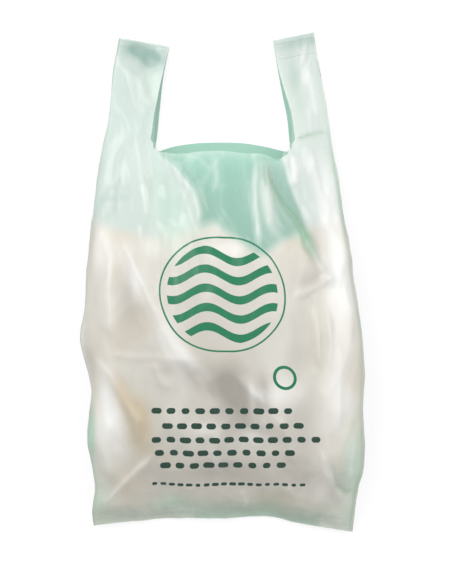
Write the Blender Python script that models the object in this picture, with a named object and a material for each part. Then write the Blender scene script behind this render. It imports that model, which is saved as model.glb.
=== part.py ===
"""Vest-style carrier bag of thin film, lying on its back with its body puffed out.

The bag is one welded and punched film tube. A front and a back panel are joined by two side gussets,
which fold inwards along their middles. One weld closes the bottom across all layers. Above the mouth
each side goes on as a handle loop: a front strap and a back strap, both folded at the outer edge and
joined only by the weld at the top.

X runs across the bag, Y from the bottom weld to the handles, and Z up from the table it lies on.
"""

import bisect
import math

import bmesh
import bpy
import numpy as np

# Driving dimensions, in metres
PANEL_WIDTH = 0.300
GUSSET_DEPTH = 0.090
LAID_LENGTH = 0.588
HANDLE_LENGTH = 0.141
HANDLE_WIDTH = 0.0585
HANDLE_FLARE = 0.003
MOUTH_RADIUS = 0.006
BODY_HEIGHT = 0.095
MOUTH_HEIGHT = 0.034
FILM = 0.00045
PLY_PITCH = 0.0010
BOTTOM_WELD = 0.010
HANDLE_WELD = 0.007
WELD_THICKNESS = 0.0018
WELD_LIFT = 0.006
WELD_LIFT_REACH = 0.060

# Tucks and folds, in metres
TUCK_OPENING = 0.014
DART_OPENING = 0.012
DART_REACH = 0.038
LOOP_OPENING = 0.007
LOOP_REACH = 0.035
LIP_RADIUS = 0.005
BACK_RIM_STEP = 0.011
HANDLE_TOP_SLANT = 0.010
BOTTOM_WAVE = 0.012

# Shares of a length or a width
RIGHT_HANDLE_TURN = 0.82
FLARE_REACH = 0.35
BACK_FLAT = 0.55
CROWN_POWER = 2.3
TUCK_LEVEL = 0.42
DART_STATION = 0.19
LOOP_STATION = 0.87
WELD_RIPPLES = 2.5
WELD_RIPPLE_START = 0.6
BOTTOM_TILT = 1 / 3
BOTTOM_HUMP = 0.4
BOTTOM_HUMP_PLACE = 0.34
BOTTOM_HUMP_REACH = 0.19
LEFT_HANDLE_DROP = 0.7
TUCK_BEND = 0.4
TUCK_CUT_PLACE = 0.79
TUCK_LEVEL_SWELL = 0.5
FOLD_ROOM = 0.2
FOLD_FADE_POWER = 6
SHARP_ANGLE = 60

# Cells of the wall
MOUTH_CELLS = 8
STRAP_CELLS = 8
BACK_MOUTH_CELLS = 4
BACK_STRAP_CELLS = 4
BODY_ROWS = 34
CORNER_ROWS = 3
HANDLE_ROWS = 6
ROW_EASE = 0.35
OUTLINE_STEPS = 60

STACK = 3 * PLY_PITCH + FILM
MOUTH_LEVEL = LAID_LENGTH - HANDLE_LENGTH
MOUTH_STATION = MOUTH_LEVEL / LAID_LENGTH

LEFT, RIGHT = -1, 1

# Half widths as shares of the panel width, against stations along the bag
SIDE_EDGE = {
    LEFT: ((0.0, 0.503), (0.05, 0.512), (0.1, 0.496), (0.147, 0.51), (0.19, 0.522), (0.244, 0.514),
           (0.29, 0.507), (0.34, 0.527), (0.39, 0.544), (0.44, 0.534), (0.5, 0.53), (0.565, 0.521),
           (0.63, 0.503), (0.693, 0.493), (0.754, 0.473), (0.818, 0.452), (0.914, 0.434), (1.0, 0.404)),
    RIGHT: ((0.0, 0.501), (0.07, 0.514), (0.11, 0.52), (0.16, 0.541), (0.26, 0.531), (0.33, 0.535),
            (0.41, 0.531), (0.47, 0.512), (0.56, 0.489), (0.65, 0.46), (0.73, 0.434), (0.81, 0.414),
            (0.94, 0.37), (1.0, 0.353)),
}

# How far the crown rises, as a share of the body height, against stations
SWELL = ((0.0, 0.0), (0.02, 0.03), (0.06, 0.30), (0.12, 0.58), (0.20, 0.82), (0.33, 0.99), (0.42, 1.0),
         (0.52, 0.90), (0.62, 0.70), (0.70, 0.50), (MOUTH_STATION, MOUTH_HEIGHT / BODY_HEIGHT),
         (0.84, 0.24), (0.92, 0.13), (1.0, 0.0))

# The mouth's two edges: rise above the mouth level as a share of the back rim's step, against places
# across the panel
FRONT_RIM = ((-1.0, 0.0), (-0.58, -0.1), (-0.41, -0.4), (-0.19, -0.26), (0.04, -0.16), (0.24, -0.36),
             (0.4, -0.52), (0.53, -0.98), (0.6, -0.5), (1.0, 0.0))
BACK_RIM = ((-1.0, 0.0), (-0.58, 0.0), (-0.52, 0.06), (-0.42, 0.46), (-0.26, 0.82), (0.01, 1.0),
            (0.24, 0.89), (0.41, 0.55), (0.59, 0.03), (1.0, 0.0))

# Folds of the front panel: route as shares of the panel width and the laid length, from the middle line
# and the lowest corner; height as a share of the body height, below zero for a valley; and half width
# as a share of the panel width
FOLDS = (
    (((-0.260, 0.767), (-0.157, 0.708), (-0.097, 0.656), (-0.080, 0.579)), 0.063, 0.0333),
    (((-0.167, 0.767), (-0.053, 0.677), (-0.013, 0.596)), -0.037, 0.0300),
    (((0.120, 0.767), (0.127, 0.656), (0.140, 0.535)), 0.068, 0.0283),
    (((0.173, 0.767), (0.267, 0.632), (0.313, 0.563), (0.380, 0.509)), -0.068, 0.0333),
    (((0.213, 0.756), (0.227, 0.587)), 0.047, 0.0283),
    (((0.040, 0.767), (0.040, 0.648)), -0.037, 0.0300),
    (((-0.500, 0.656), (-0.347, 0.674)), -0.053, 0.0300),
    (((-0.427, 0.356), (-0.193, 0.349)), -0.047, 0.0333),
    (((-0.253, 0.183), (-0.367, 0.111), (-0.460, 0.059)), 0.084, 0.0367),
    (((-0.167, 0.114), (-0.207, 0.045)), 0.053, 0.0367),
    (((0.390, 0.173), (0.413, 0.114), (0.460, 0.086), (0.520, 0.104)), -0.074, 0.0367),
    (((0.333, 0.187), (0.373, 0.114), (0.453, 0.045)), 0.068, 0.0367),
    (((0.343, 0.484), (0.367, 0.380), (0.397, 0.268)), -0.058, 0.0317),
    (((0.420, 0.475), (0.443, 0.294)), 0.047, 0.0317),
    (((0.060, 0.345), (0.087, 0.181)), -0.068, 0.0500),
    (((0.133, 0.131), (0.173, 0.048)), -0.058, 0.0367),
    (((-0.373, 0.587), (-0.407, 0.432), (-0.347, 0.328)), 0.063, 0.0400),
    (((-0.293, 0.570), (-0.307, 0.415)), -0.047, 0.0400),
)


def through(knots, place):
    """Value at a place on a smooth curve through (place, value) knots."""
    places = [knot[0] for knot in knots]
    values = [knot[1] for knot in knots]
    slopes = np.gradient(values, places)
    low = min(max(bisect.bisect(places, place) - 1, 0), len(places) - 2)
    gap = places[low + 1] - places[low]
    share = min(max((place - places[low]) / gap, 0.0), 1.0)
    square, cube = share**2, share**3
    return float(
        (2 * cube - 3 * square + 1) * values[low]
        + (cube - 2 * square + share) * gap * slopes[low]
        + (3 * square - 2 * cube) * values[low + 1]
        + (cube - square) * gap * slopes[low + 1]
    )


def smooth_step(low, high, value):
    """Rise from 0 at low to 1 at high, level at both ends."""
    share = min(max((value - low) / (high - low), 0.0), 1.0)
    return share * share * (3 - 2 * share)


def bump(middle, reach, value):
    """Bell of height 1 round a middle."""
    return math.exp(-(((value - middle) / reach) ** 2))


def bottom_edge(across):
    """Y of the bag's lower edge, across from -1 to 1 over the panel."""
    sag = 1 - across**2 + BOTTOM_TILT * (1 - across)
    return BOTTOM_WAVE * (sag + BOTTOM_HUMP * bump(BOTTOM_HUMP_PLACE, BOTTOM_HUMP_REACH, across))


def rim_edge(across, knots):
    """Y of one edge of the mouth, across from -1 to 1 over the panel."""
    return MOUTH_LEVEL + BACK_RIM_STEP * through(knots, across)


def half_width(side, y):
    """Distance from the middle line to the outer fold on one side."""
    return PANEL_WIDTH * through(SIDE_EDGE[side], y / LAID_LENGTH)


def handle_top(side, share):
    """Y of a handle's top edge, share 0 at its outer fold and 1 at its inner edge."""
    corner = LAID_LENGTH if side == RIGHT else LAID_LENGTH - LEFT_HANDLE_DROP * HANDLE_TOP_SLANT
    return corner - HANDLE_TOP_SLANT * share


class Section:
    """Half of the bag's cross-section at one station, from its crown to its tuck and back.

    Distances along the film are measured from the outer folds. The front and the back half meet the
    tuck at a rounded lip, and the tuck runs inwards between them.
    """

    def __init__(self, side, y):
        self.side = side
        swell = through(SWELL, y / LAID_LENGTH)
        height = STACK + swell * (BODY_HEIGHT - STACK)
        self.middle = 0.5 * (half_width(RIGHT, y) - half_width(LEFT, y))
        self.reach = 0.5 * (half_width(RIGHT, y) + half_width(LEFT, y))
        self.level = height * (0.5 + (TUCK_LEVEL - 0.5) * smooth_step(0.0, TUCK_LEVEL_SWELL, swell))
        self.slot = PLY_PITCH + TUCK_OPENING * swell
        self.slot += LOOP_OPENING * bump(LOOP_STATION * LAID_LENGTH, LOOP_REACH, y)
        if side == LEFT:
            self.slot += DART_OPENING * bump(DART_STATION * LAID_LENGTH, DART_REACH, y)
        self.lip = 0.5 * PLY_PITCH + LIP_RADIUS * swell
        turns = np.linspace(0.0, math.pi / 2, OUTLINE_STEPS)
        self.front = self.outline(
            self.reach * np.sin(turns) ** (2 / CROWN_POWER),
            self.upper_lip() + (height - FILM / 2 - self.upper_lip()) * np.cos(turns) ** (2 / CROWN_POWER),
        )
        flat = BACK_FLAT * self.reach
        self.back = self.outline(
            np.append(0.0, flat + (self.reach - flat) * np.sin(turns)),
            np.append(FILM / 2, FILM / 2 + (self.lower_lip() - FILM / 2) * (1 - np.cos(turns))),
        )
        mean_length = 0.5 * (self.front[0][-1] + self.back[0][-1])
        self.depth = GUSSET_DEPTH - max(0.0, mean_length - PANEL_WIDTH / 2)

    def upper_lip(self):
        """Height of the front's outer fold."""
        return self.level + self.slot / 2 + self.lip

    def lower_lip(self):
        """Height of the back's outer fold."""
        return self.level - self.slot / 2 - self.lip

    @staticmethod
    def outline(across, heights):
        """Half outline from the middle to the outer fold, with the length of film from that fold."""
        steps = np.hypot(np.diff(across), np.diff(heights))
        from_fold = np.append(0.0, np.cumsum(steps[::-1]))
        return from_fold, across[::-1], heights[::-1]

    def on_panel(self, outline, distance):
        """(across, height) on the front or back outline at a distance from its outer fold."""
        lengths, across, heights = outline
        return float(np.interp(distance, lengths, across)), float(np.interp(distance, lengths, heights))

    def in_tuck(self, distance, upper):
        """(across, height) on the upper or the lower ply of the tuck."""
        way = 1 if upper else -1
        return self.reach - self.lip - distance, self.level + way * self.slot / 2

    def tip(self):
        """(across, height) of the fold at the bottom of the tuck."""
        return self.reach - self.depth - self.slot / 2, self.level


def strap_width(side, climb):
    """Width of the handle on one side, as it lies, climb 0 at its root and 1 at its top."""
    width = HANDLE_WIDTH * (RIGHT_HANDLE_TURN if side == RIGHT else 1.0)
    return width + HANDLE_FLARE * (1 - smooth_step(0.0, FLARE_REACH, climb))


def strap_share(side):
    """Share of a half panel that the strap and the mouth's rounded corner take."""
    return (strap_width(side, 0.0) + MOUTH_RADIUS) / Section(side, MOUTH_LEVEL).front[0][-1]


def panel_places(length, strap, strap_cells, mouth_cells):
    """Distances from the outer fold: from the middle of a panel to the fold."""
    inner = np.linspace(length, strap, mouth_cells + 1)
    outer = np.linspace(strap, 0.0, strap_cells + 1)
    return list(inner) + list(outer[1:])


def half_ring(section, strap):
    """Points of a half section, from the crown down to the tuck and out to the back's middle."""
    front_length = section.front[0][-1]
    back_length = section.back[0][-1]
    fronts = panel_places(front_length, strap * front_length, STRAP_CELLS, MOUTH_CELLS)
    backs = panel_places(back_length, strap * back_length, BACK_STRAP_CELLS, BACK_MOUTH_CELLS)
    tucks = [0.0, TUCK_BEND * section.depth, TUCK_CUT_PLACE * section.depth, section.depth - section.lip]
    points = [section.on_panel(section.front, place) for place in fronts]
    points += [section.in_tuck(place, True) for place in tucks]
    points.append(section.tip())
    points += [section.in_tuck(place, False) for place in reversed(tucks)]
    points += [section.on_panel(section.back, place) for place in reversed(backs)]
    return points


# Places in a half ring, in order. Each ply of the tuck has four: its lip, its bend, the handle's cut
# and the start of its tip
TUCK_PLACES = 4
CROWN = 0
FRONT_STRAP = MOUTH_CELLS
FRONT_FOLD = MOUTH_CELLS + STRAP_CELLS
TUCK_CUT = FRONT_FOLD + 3
TIP = FRONT_FOLD + TUCK_PLACES + 1
LOWER_TUCK_CUT = 2 * TIP - TUCK_CUT
BACK_FOLD = 2 * TIP - FRONT_FOLD
BACK_STRAP = BACK_FOLD + BACK_STRAP_CELLS
BACK_MIDDLE = BACK_STRAP + BACK_MOUTH_CELLS


def fold_height(x, y):
    """Rise of the front panel over all of its folds."""
    total = 0.0
    place = np.array((x, y))
    for shares, height, reach in FOLDS:
        route = [(across * PANEL_WIDTH, along * LAID_LENGTH) for across, along in shares]
        nearest = min(segment_distance(place, *ends) for ends in zip(route, route[1:]))
        total += height * BODY_HEIGHT * bump(0.0, reach * PANEL_WIDTH, nearest)
    return total


def segment_distance(place, start, end):
    """Distance from a place to a straight run."""
    start, end = np.array(start), np.array(end)
    run = end - start
    share = min(max(float(np.dot(place - start, run) / np.dot(run, run)), 0.0), 1.0)
    return float(np.linalg.norm(place - start - share * run))


def placed(section, across, height, y, index):
    """Point of the film's mid-surface, with the front's folds and the weld's lift."""
    x = section.middle + section.side * across
    if index < FRONT_FOLD:
        room = min(1.0, (section.upper_lip() - section.slot / 2) / (FOLD_ROOM * BODY_HEIGHT))
        edge = 1.0 - (across / section.reach) ** FOLD_FADE_POWER
        height += fold_height(x, y) * room * edge
    return x, y, height + weld_lift(x, y)


def weld_lift(x, y):
    """Rise of the wavy bottom weld above the table, fading up the body."""
    near_weld = 1.0 - smooth_step(0.0, WELD_LIFT_REACH, y - bottom_edge(x / (PANEL_WIDTH / 2)))
    ripple = 1.0 + math.cos(WELD_RIPPLES * 2 * math.pi * x / PANEL_WIDTH + WELD_RIPPLE_START)
    return WELD_LIFT * near_weld * ripple / 2


def row_share(row):
    """Share of the way up the body at a row; the rows are closer at both ends."""
    share = row / BODY_ROWS
    return share - ROW_EASE * math.sin(2 * math.pi * share) / (2 * math.pi)


def body_point(side, row, index, section, ring):
    """Point of the body's mid-surface, rows from the bottom weld to the mouth."""
    across, height = ring[index]
    share = row_share(row)
    panel = (section.middle + side * across) / (PANEL_WIDTH / 2)
    low = bottom_edge(panel) + BOTTOM_WELD
    if index <= FRONT_STRAP:
        high = rim_edge(side * across / section.reach, FRONT_RIM)
    elif index >= BACK_STRAP:
        high = rim_edge(side * across / section.reach, BACK_RIM)
    else:
        high = rim_edge(side, FRONT_RIM)
    return placed(section, across, height, low + share * (high - low), index)


def body_station(row):
    """Y of a body row's cross-section."""
    start = BOTTOM_WELD + BOTTOM_WAVE
    return start + row_share(row) * (MOUTH_LEVEL - start)


def strap_indices():
    """Half-ring places that go on above the mouth: the front strap and the back strap."""
    return list(range(FRONT_STRAP, TUCK_CUT + 1)), list(range(LOWER_TUCK_CUT, BACK_STRAP + 1))


def strap_point(side, row, index):
    """Point of a handle's mid-surface, rows from the mouth to the top weld."""
    if row <= CORNER_ROWS:
        angle = row / CORNER_ROWS * math.pi / 2
        corner = MOUTH_RADIUS * (1 - math.cos(angle))
        climb = 0.0
        width = strap_width(side, climb) + MOUTH_RADIUS * (1 - math.sin(angle))
    else:
        corner = MOUTH_RADIUS
        climb = (row - CORNER_ROWS) / HANDLE_ROWS
        width = strap_width(side, climb)
    root = rim_edge(side, FRONT_RIM) + corner
    fold_y = root + climb * (handle_top(side, 0.0) - HANDLE_WELD - root)
    section = Section(side, fold_y)
    if index <= FRONT_FOLD:
        share = (FRONT_FOLD - index) / STRAP_CELLS
        across, height = section.on_panel(section.front, share * width)
    elif index >= BACK_FOLD:
        share = (index - BACK_FOLD) / BACK_STRAP_CELLS
        across, height = section.on_panel(section.back, share * width)
    else:
        upper = index < TIP
        step = (index - FRONT_FOLD if upper else BACK_FOLD - index) - 1
        share = step / 2
        across, height = section.in_tuck(share * (width - section.lip), upper)
    top = handle_top(side, share) - HANDLE_WELD
    return placed(section, across, height, root + climb * (top - root), index)


def middle_surface():
    """The film's mid-surface, and its vertices by (side, place in the half ring, row)."""
    surface = bmesh.new()
    points = {}
    last_row = BODY_ROWS + CORNER_ROWS + HANDLE_ROWS
    for side in (RIGHT, LEFT):
        for row in range(BODY_ROWS + 1):
            section = Section(side, body_station(row))
            ring = half_ring(section, strap_share(side))
            for index in range(BACK_MIDDLE + 1):
                if side == LEFT and index in (CROWN, BACK_MIDDLE):
                    points[side, index, row] = points[RIGHT, index, row]
                else:
                    place = body_point(side, row, index, section, ring)
                    points[side, index, row] = surface.verts.new(place)
        for indices in strap_indices():
            for row in range(BODY_ROWS + 1, last_row + 1):
                for index in indices:
                    place = strap_point(side, row - BODY_ROWS, index)
                    points[side, index, row] = surface.verts.new(place)
    for side, index, row in list(points):
        corners = [(side, index, row), (side, index + 1, row)]
        corners += [(side, index + 1, row + 1), (side, index, row + 1)]
        if all(corner in points for corner in corners) and index < BACK_MIDDLE:
            if side == LEFT:
                corners.reverse()
            surface.faces.new([points[corner] for corner in corners])
    surface.normal_update()
    return surface, points, last_row


def zip_chains(mesh, first, second):
    """Close the strip between two chains of vertices with triangles."""
    here, there = 0, 0
    while here < len(first) - 1 or there < len(second) - 1:
        ahead = (here + 1) / max(len(first) - 1, 1)
        behind = (there + 1) / max(len(second) - 1, 1)
        if there == len(second) - 1 or (here < len(first) - 1 and ahead <= behind):
            corners = [first[here], first[here + 1], second[there]]
            here += 1
        else:
            corners = [first[here], second[there + 1], second[there]]
            there += 1
        if len(set(corners)) == 3:
            mesh.faces.new(corners)


def free_edge(mesh, outer, keys, lengthwise, way):
    """New vertices along a weld's free edge, on its upper or its lower side."""
    chain = []
    for key in keys:
        x, y, _ = outer[key].co
        y += lengthwise
        chain.append(mesh.verts.new((x, y, STACK / 2 + weld_lift(x, y) + way * WELD_THICKNESS / 2)))
    return chain


def close_plies(mesh, outer, inner, row, side, front_end, back_end, tuck_end):
    """Close one side's plies against a weld, from their outer folds inwards."""
    upper = range(FRONT_FOLD, tuck_end + 1)
    lower = range(BACK_FOLD, 2 * TIP - tuck_end - 1, -1)
    front = range(FRONT_FOLD, front_end - 1, -1)
    back = range(BACK_FOLD, back_end + 1)
    zip_chains(mesh, [inner[side, i, row] for i in front], [inner[side, i, row] for i in upper])
    zip_chains(mesh, [inner[side, i, row] for i in lower], [inner[side, i, row] for i in back])
    zip_chains(mesh, [outer[side, i, row] for i in upper], [outer[side, i, row] for i in lower])


def across_bag(row, middle, last):
    """Keys of one row of a panel, from the left to the right."""
    step = 1 if last > middle else -1
    left = [(LEFT, index, row) for index in range(last, middle, -step)]
    return left + [(RIGHT, index, row) for index in range(middle, last + step, step)]


def add_bottom_weld(mesh, outer, inner):
    """The solid strip that joins all layers at the bottom."""
    front_end = FRONT_STRAP - 1
    back_end = BACK_STRAP + 1
    front_middle = [inner[key] for key in across_bag(0, CROWN, front_end)]
    back_middle = [inner[key] for key in across_bag(0, BACK_MIDDLE, back_end)]
    zip_chains(mesh, front_middle, back_middle)
    front = across_bag(0, CROWN, FRONT_FOLD)
    back = across_bag(0, BACK_MIDDLE, BACK_FOLD)
    front_free = free_edge(mesh, outer, front, -BOTTOM_WELD, 1)
    back_free = free_edge(mesh, outer, back, -BOTTOM_WELD, -1)
    zip_chains(mesh, [outer[key] for key in front], front_free)
    zip_chains(mesh, [outer[key] for key in back], back_free)
    zip_chains(mesh, front_free, back_free)
    for side, end in ((LEFT, 0), (RIGHT, -1)):
        close_plies(mesh, outer, inner, 0, side, front_end, back_end, TIP)
        mesh.faces.new([inner[side, front_end, 0], inner[side, TIP, 0], inner[side, back_end, 0]])
        zip_chains(mesh, [outer[front[end]], outer[back[end]]], [front_free[end], back_free[end]])


def add_handle_weld(mesh, outer, inner, side, row):
    """The solid strip that joins a handle's front and back straps at its top."""
    front = [(side, index, row) for index in range(FRONT_STRAP, FRONT_FOLD + 1)]
    back = [(side, index, row) for index in range(BACK_STRAP, BACK_FOLD - 1, -1)]
    front_free = free_edge(mesh, outer, front, HANDLE_WELD, 1)
    back_free = free_edge(mesh, outer, back, HANDLE_WELD, -1)
    zip_chains(mesh, [outer[key] for key in front], front_free)
    zip_chains(mesh, [outer[key] for key in back], back_free)
    zip_chains(mesh, front_free, back_free)
    close_plies(mesh, outer, inner, row, side, FRONT_STRAP, BACK_STRAP, TUCK_CUT)
    zip_chains(mesh, [outer[front[-1]], outer[back[-1]]], [front_free[-1], back_free[-1]])
    edge = []
    for index in (FRONT_STRAP, TUCK_CUT, LOWER_TUCK_CUT, BACK_STRAP):
        pair = [outer[side, index, row], inner[side, index, row]]
        edge += pair if index in (FRONT_STRAP, LOWER_TUCK_CUT) else pair[::-1]
    zip_chains(mesh, edge, [front_free[0], back_free[0]])


def film_mesh():
    """The whole bag as one closed wall of film."""
    surface, points, last_row = middle_surface()
    mesh = bmesh.new()
    outer = {key: mesh.verts.new(vert.co + vert.normal * FILM / 2) for key, vert in points.items()}
    inner = {key: mesh.verts.new(vert.co - vert.normal * FILM / 2) for key, vert in points.items()}
    for right, left in shared_keys(last_row):
        for wall in (outer, inner):
            mesh.verts.remove(wall[left])
            wall[left] = wall[right]
    middles = (CROWN, BACK_MIDDLE)
    names = {vert: key for key, vert in points.items() if key[0] == RIGHT or key[1] not in middles}
    for face in surface.faces:
        keys = [names[vert] for vert in face.verts]
        mesh.faces.new([outer[key] for key in keys])
        mesh.faces.new([inner[key] for key in reversed(keys)])
    for edge in surface.edges:
        keys = [names[vert] for vert in edge.verts]
        welded = all(key[2] == 0 for key in keys) or all(key[2] == last_row for key in keys)
        if edge.is_boundary and not welded:
            first, second = keys
            mesh.faces.new([outer[first], outer[second], inner[second], inner[first]])
    add_bottom_weld(mesh, outer, inner)
    for side in (LEFT, RIGHT):
        add_handle_weld(mesh, outer, inner, side, last_row)
    surface.free()
    bmesh.ops.recalc_face_normals(mesh, faces=mesh.faces)
    return mesh


def shared_keys(last_row):
    """Pairs of keys that name one vertex, along the middles of the two panels."""
    for row in range(last_row - CORNER_ROWS - HANDLE_ROWS + 1):
        for index in (CROWN, BACK_MIDDLE):
            yield (RIGHT, index, row), (LEFT, index, row)


def centre_on_table(mesh):
    """Put the middle of the bag's box at X and Y zero and its lowest point at Z zero."""
    places = np.array([vert.co for vert in mesh.verts])
    low, high = places.min(axis=0), places.max(axis=0)
    middle = (low + high) / 2
    bmesh.ops.translate(mesh, verts=mesh.verts, vec=(-middle[0], -middle[1], -low[2]))


def film_material():
    """Pale green, see-through film."""
    material = bpy.data.materials.new("film")
    material.use_nodes = True
    shader = material.node_tree.nodes["Principled BSDF"]
    shader.inputs["Base Color"].default_value = (0.60, 0.76, 0.66, 1.0)
    shader.inputs["Roughness"].default_value = 0.38
    shader.inputs["Metallic"].default_value = 0.0
    shader.inputs["Alpha"].default_value = 0.62
    return material


def main():
    """Clear the scene and build the bag."""
    for old in list(bpy.data.objects):
        bpy.data.objects.remove(old, do_unlink=True)
    mesh = film_mesh()
    centre_on_table(mesh)
    data = bpy.data.meshes.new("carrier_bag")
    mesh.to_mesh(data)
    mesh.free()
    data.shade_smooth()
    data.set_sharp_from_angle(angle=math.radians(SHARP_ANGLE))
    data.materials.append(film_material())
    bag = bpy.data.objects.new("carrier_bag", data)
    bpy.context.collection.objects.link(bag)


if __name__ == "__main__":
    main()
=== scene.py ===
"""Dressed model of a vest-style carrier bag of thin, see-through film, lying on its back.

The film is one sheet of the bag's real cut: front and back panel, two side gussets tucked inwards, the
punched mouth and two handle loops. Its main folds are laid along named routes, its smaller creases come
from a Geometry Nodes tree, and its finish is worked out from the place on the film.
"""

import logging
import math
from dataclasses import asdict, dataclass
from enum import Enum
from typing import Iterable, Sequence

import bmesh
import bpy
import numpy as np
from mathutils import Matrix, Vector
from mathutils.kdtree import KDTree


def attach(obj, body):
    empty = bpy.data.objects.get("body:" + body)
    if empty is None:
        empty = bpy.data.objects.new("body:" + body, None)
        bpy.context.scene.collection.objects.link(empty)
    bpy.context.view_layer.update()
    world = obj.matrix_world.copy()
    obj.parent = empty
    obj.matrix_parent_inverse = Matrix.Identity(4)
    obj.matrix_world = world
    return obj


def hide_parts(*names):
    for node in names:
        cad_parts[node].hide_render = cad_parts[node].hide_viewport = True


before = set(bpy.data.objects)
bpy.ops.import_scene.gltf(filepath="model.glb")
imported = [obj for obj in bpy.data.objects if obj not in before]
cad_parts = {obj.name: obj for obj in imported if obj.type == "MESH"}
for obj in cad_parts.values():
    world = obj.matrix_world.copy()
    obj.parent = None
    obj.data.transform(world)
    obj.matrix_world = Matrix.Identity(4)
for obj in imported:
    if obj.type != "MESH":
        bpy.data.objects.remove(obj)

LOG = logging.getLogger("carrier_bag")

Knots = Sequence[tuple[float, float]]
Route = Sequence[tuple[float, float]]
Range = tuple[float, float]
Place = tuple[float, float, float]
Noise = tuple[float, float, float]
Colour = tuple[float, float, float, float]
Values = np.ndarray | float
Pair = tuple[np.ndarray, np.ndarray]
Outline = tuple[np.ndarray, np.ndarray, np.ndarray]
Columns = dict[str, np.ndarray]


class Side(Enum):
    """The two sides of the bag, seen from the front."""

    LEFT = -1
    RIGHT = 1


class Tone(Enum):
    """The tones laid on the film from place to place: white is a painted highlight and shade is painted
    shade.
    """

    WHITE = "white"
    PAINTED_SHADE = "shade"
    WARM = "warm"
    MINT = "mint"


class Ply(Enum):
    """The plies of film that a half section runs through, from the crown to the back's middle."""

    FRONT = 0
    UPPER_TUCK = 1
    LOWER_TUCK = 2
    BACK = 3


@dataclass(frozen=True)
class FilmSizes:
    """The bag's sizes in metres, and the shares and powers that go with them."""

    panel_width: float = 0.300
    gusset_depth: float = 0.090
    flat_length: float = 0.600
    laid_length: float = 0.588
    body_height: float = 0.0945
    crown_power: float = 2.3
    back_flat: float = 0.55
    ply_pitch: float = 0.0006
    table_gap: float = 0.0004
    lip_radius: float = 0.005
    handle_length: float = 0.141
    handle_width: float = 0.0585
    handle_flare: float = 0.003
    flare_reach: float = 0.35
    handle_slant: float = 0.010
    left_top_drop: float = 0.7
    right_handle_turn: float = 0.82
    strap_inset: float = 0.0046
    inset_rise: Range = (0.0, 0.06)
    inset_fall: Range = (0.2, 0.85)
    mouth_radius: float = 0.006
    mouth_height: float = 0.034
    bottom_weld: float = 0.010
    bottom_wave: float = 0.012
    bottom_middle: float = 1.33
    bottom_lean: float = 3.0
    lobe_share: float = 0.4
    lobe_place: float = 0.34
    lobe_reach: float = 0.19
    weld_lift: float = 0.006
    weld_lift_reach: float = 0.060
    weld_half_waves: int = 5
    weld_phase: float = 0.6
    tuck_level: float = 0.42
    tuck_opening: float = 0.014
    tuck_drop: float = 0.012
    dart_opening: float = 0.012
    dart_reach: float = 0.038
    dart_station: float = 0.19
    loop_opening: float = 0.007
    loop_reach: float = 0.035
    loop_station: float = 0.87
    rim_reach: float = 0.0024
    rim_inset: float = 0.0035
    front_room: float = 0.005
    slot_room_share: float = 0.22
    lip_room_share: float = 0.4
    back_room: float = 0.0012
    least_relief: float = 0.12
    relief_share: float = 0.2
    relief_power: int = 6

    @property
    def mouth_level(self) -> float:
        """Y of the mouth above the lowest corner."""
        return self.laid_length - self.handle_length

    @property
    def stack(self) -> float:
        """Height of the four plies where they lie on each other."""
        return 3 * self.ply_pitch + self.table_gap

    @property
    def film_area(self) -> float:
        """Flat area of the film after the mouth has been punched out, in square metres."""
        whole = 2 * (self.panel_width + 2 * self.gusset_depth) * self.flat_length
        punched_panels = 2 * (self.panel_width - 2 * self.handle_width) * self.handle_length
        punched_gussets = 4 * (self.gusset_depth - self.handle_width) * self.handle_length
        return whole - punched_panels - punched_gussets


@dataclass(frozen=True)
class CellCounts:
    """How finely the film is divided."""

    mouth: int = 34
    strap: int = 30
    back_mouth: int = 22
    back_strap: int = 20
    lip: int = 4
    tuck_strap: int = 20
    tuck_rest: int = 7
    tip: int = 3
    body_rows: int = 168
    corner_rows: int = 7
    handle_rows: int = 44
    row_ease: float = 0.25
    outline: int = 120


def smooth_step(low: float, high: float, value: Values) -> np.ndarray:
    """Rise from 0 at low to 1 at high, level at both ends."""
    share = np.clip((np.asarray(value, float) - low) / (high - low), 0.0, 1.0)
    return share * share * (3.0 - 2.0 * share)


def bell(middle: float, reach: float, value: Values) -> np.ndarray:
    """Bell of height 1 round a middle."""
    return np.exp(-(((np.asarray(value, float) - middle) / reach) ** 2))


def through(knots: Knots, place: Values) -> np.ndarray:
    """Smooth curve through knots.

    Args:
        knots: (place, value) pairs in rising order of place.
        place: Where the curve is read.

    Returns:
        The curve's values there.
    """
    places, values = (np.array(row, float) for row in zip(*knots))
    slopes = np.gradient(values, places)
    place = np.asarray(place, float)
    low = np.clip(np.searchsorted(places, place, side="right") - 1, 0, len(places) - 2)
    gap = places[low + 1] - places[low]
    share = np.clip((place - places[low]) / gap, 0.0, 1.0)
    square, cube = share**2, share**3
    return (
        (2 * cube - 3 * square + 1) * values[low]
        + (cube - 2 * square + share) * gap * slopes[low]
        + (3 * square - 2 * cube) * values[low + 1]
        + (cube - square) * gap * slopes[low + 1]
    )


def spread(stops: Sequence[float], cells: Sequence[int]) -> np.ndarray:
    """Even steps from each stop to the next, so many cells between each two, all stops included."""
    runs = [np.linspace(low, high, count + 1)[1:] for low, high, count in zip(stops, stops[1:], cells)]
    return np.concatenate(([stops[0]], *runs))


def placed(name: str, data: bpy.types.ID) -> bpy.types.Object:
    """Put an object with its data into the scene.

    Args:
        name: The object's name.
        data: Its mesh, lamp or camera.

    Returns:
        The object.
    """
    item = bpy.data.objects.new(name, data)
    bpy.context.collection.objects.link(item)
    return item


def store(mesh: bpy.types.Mesh, name: str, values: np.ndarray) -> None:
    """Keep one number from 0 to 1 a point in a mesh.

    Args:
        mesh: The mesh.
        name: The attribute's name.
        values: The number of each point.
    """
    layer = mesh.attributes.new(name, "FLOAT", "POINT")
    layer.data.foreach_set("value", np.clip(values, 0.0, 1.0).astype(np.float32))


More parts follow.
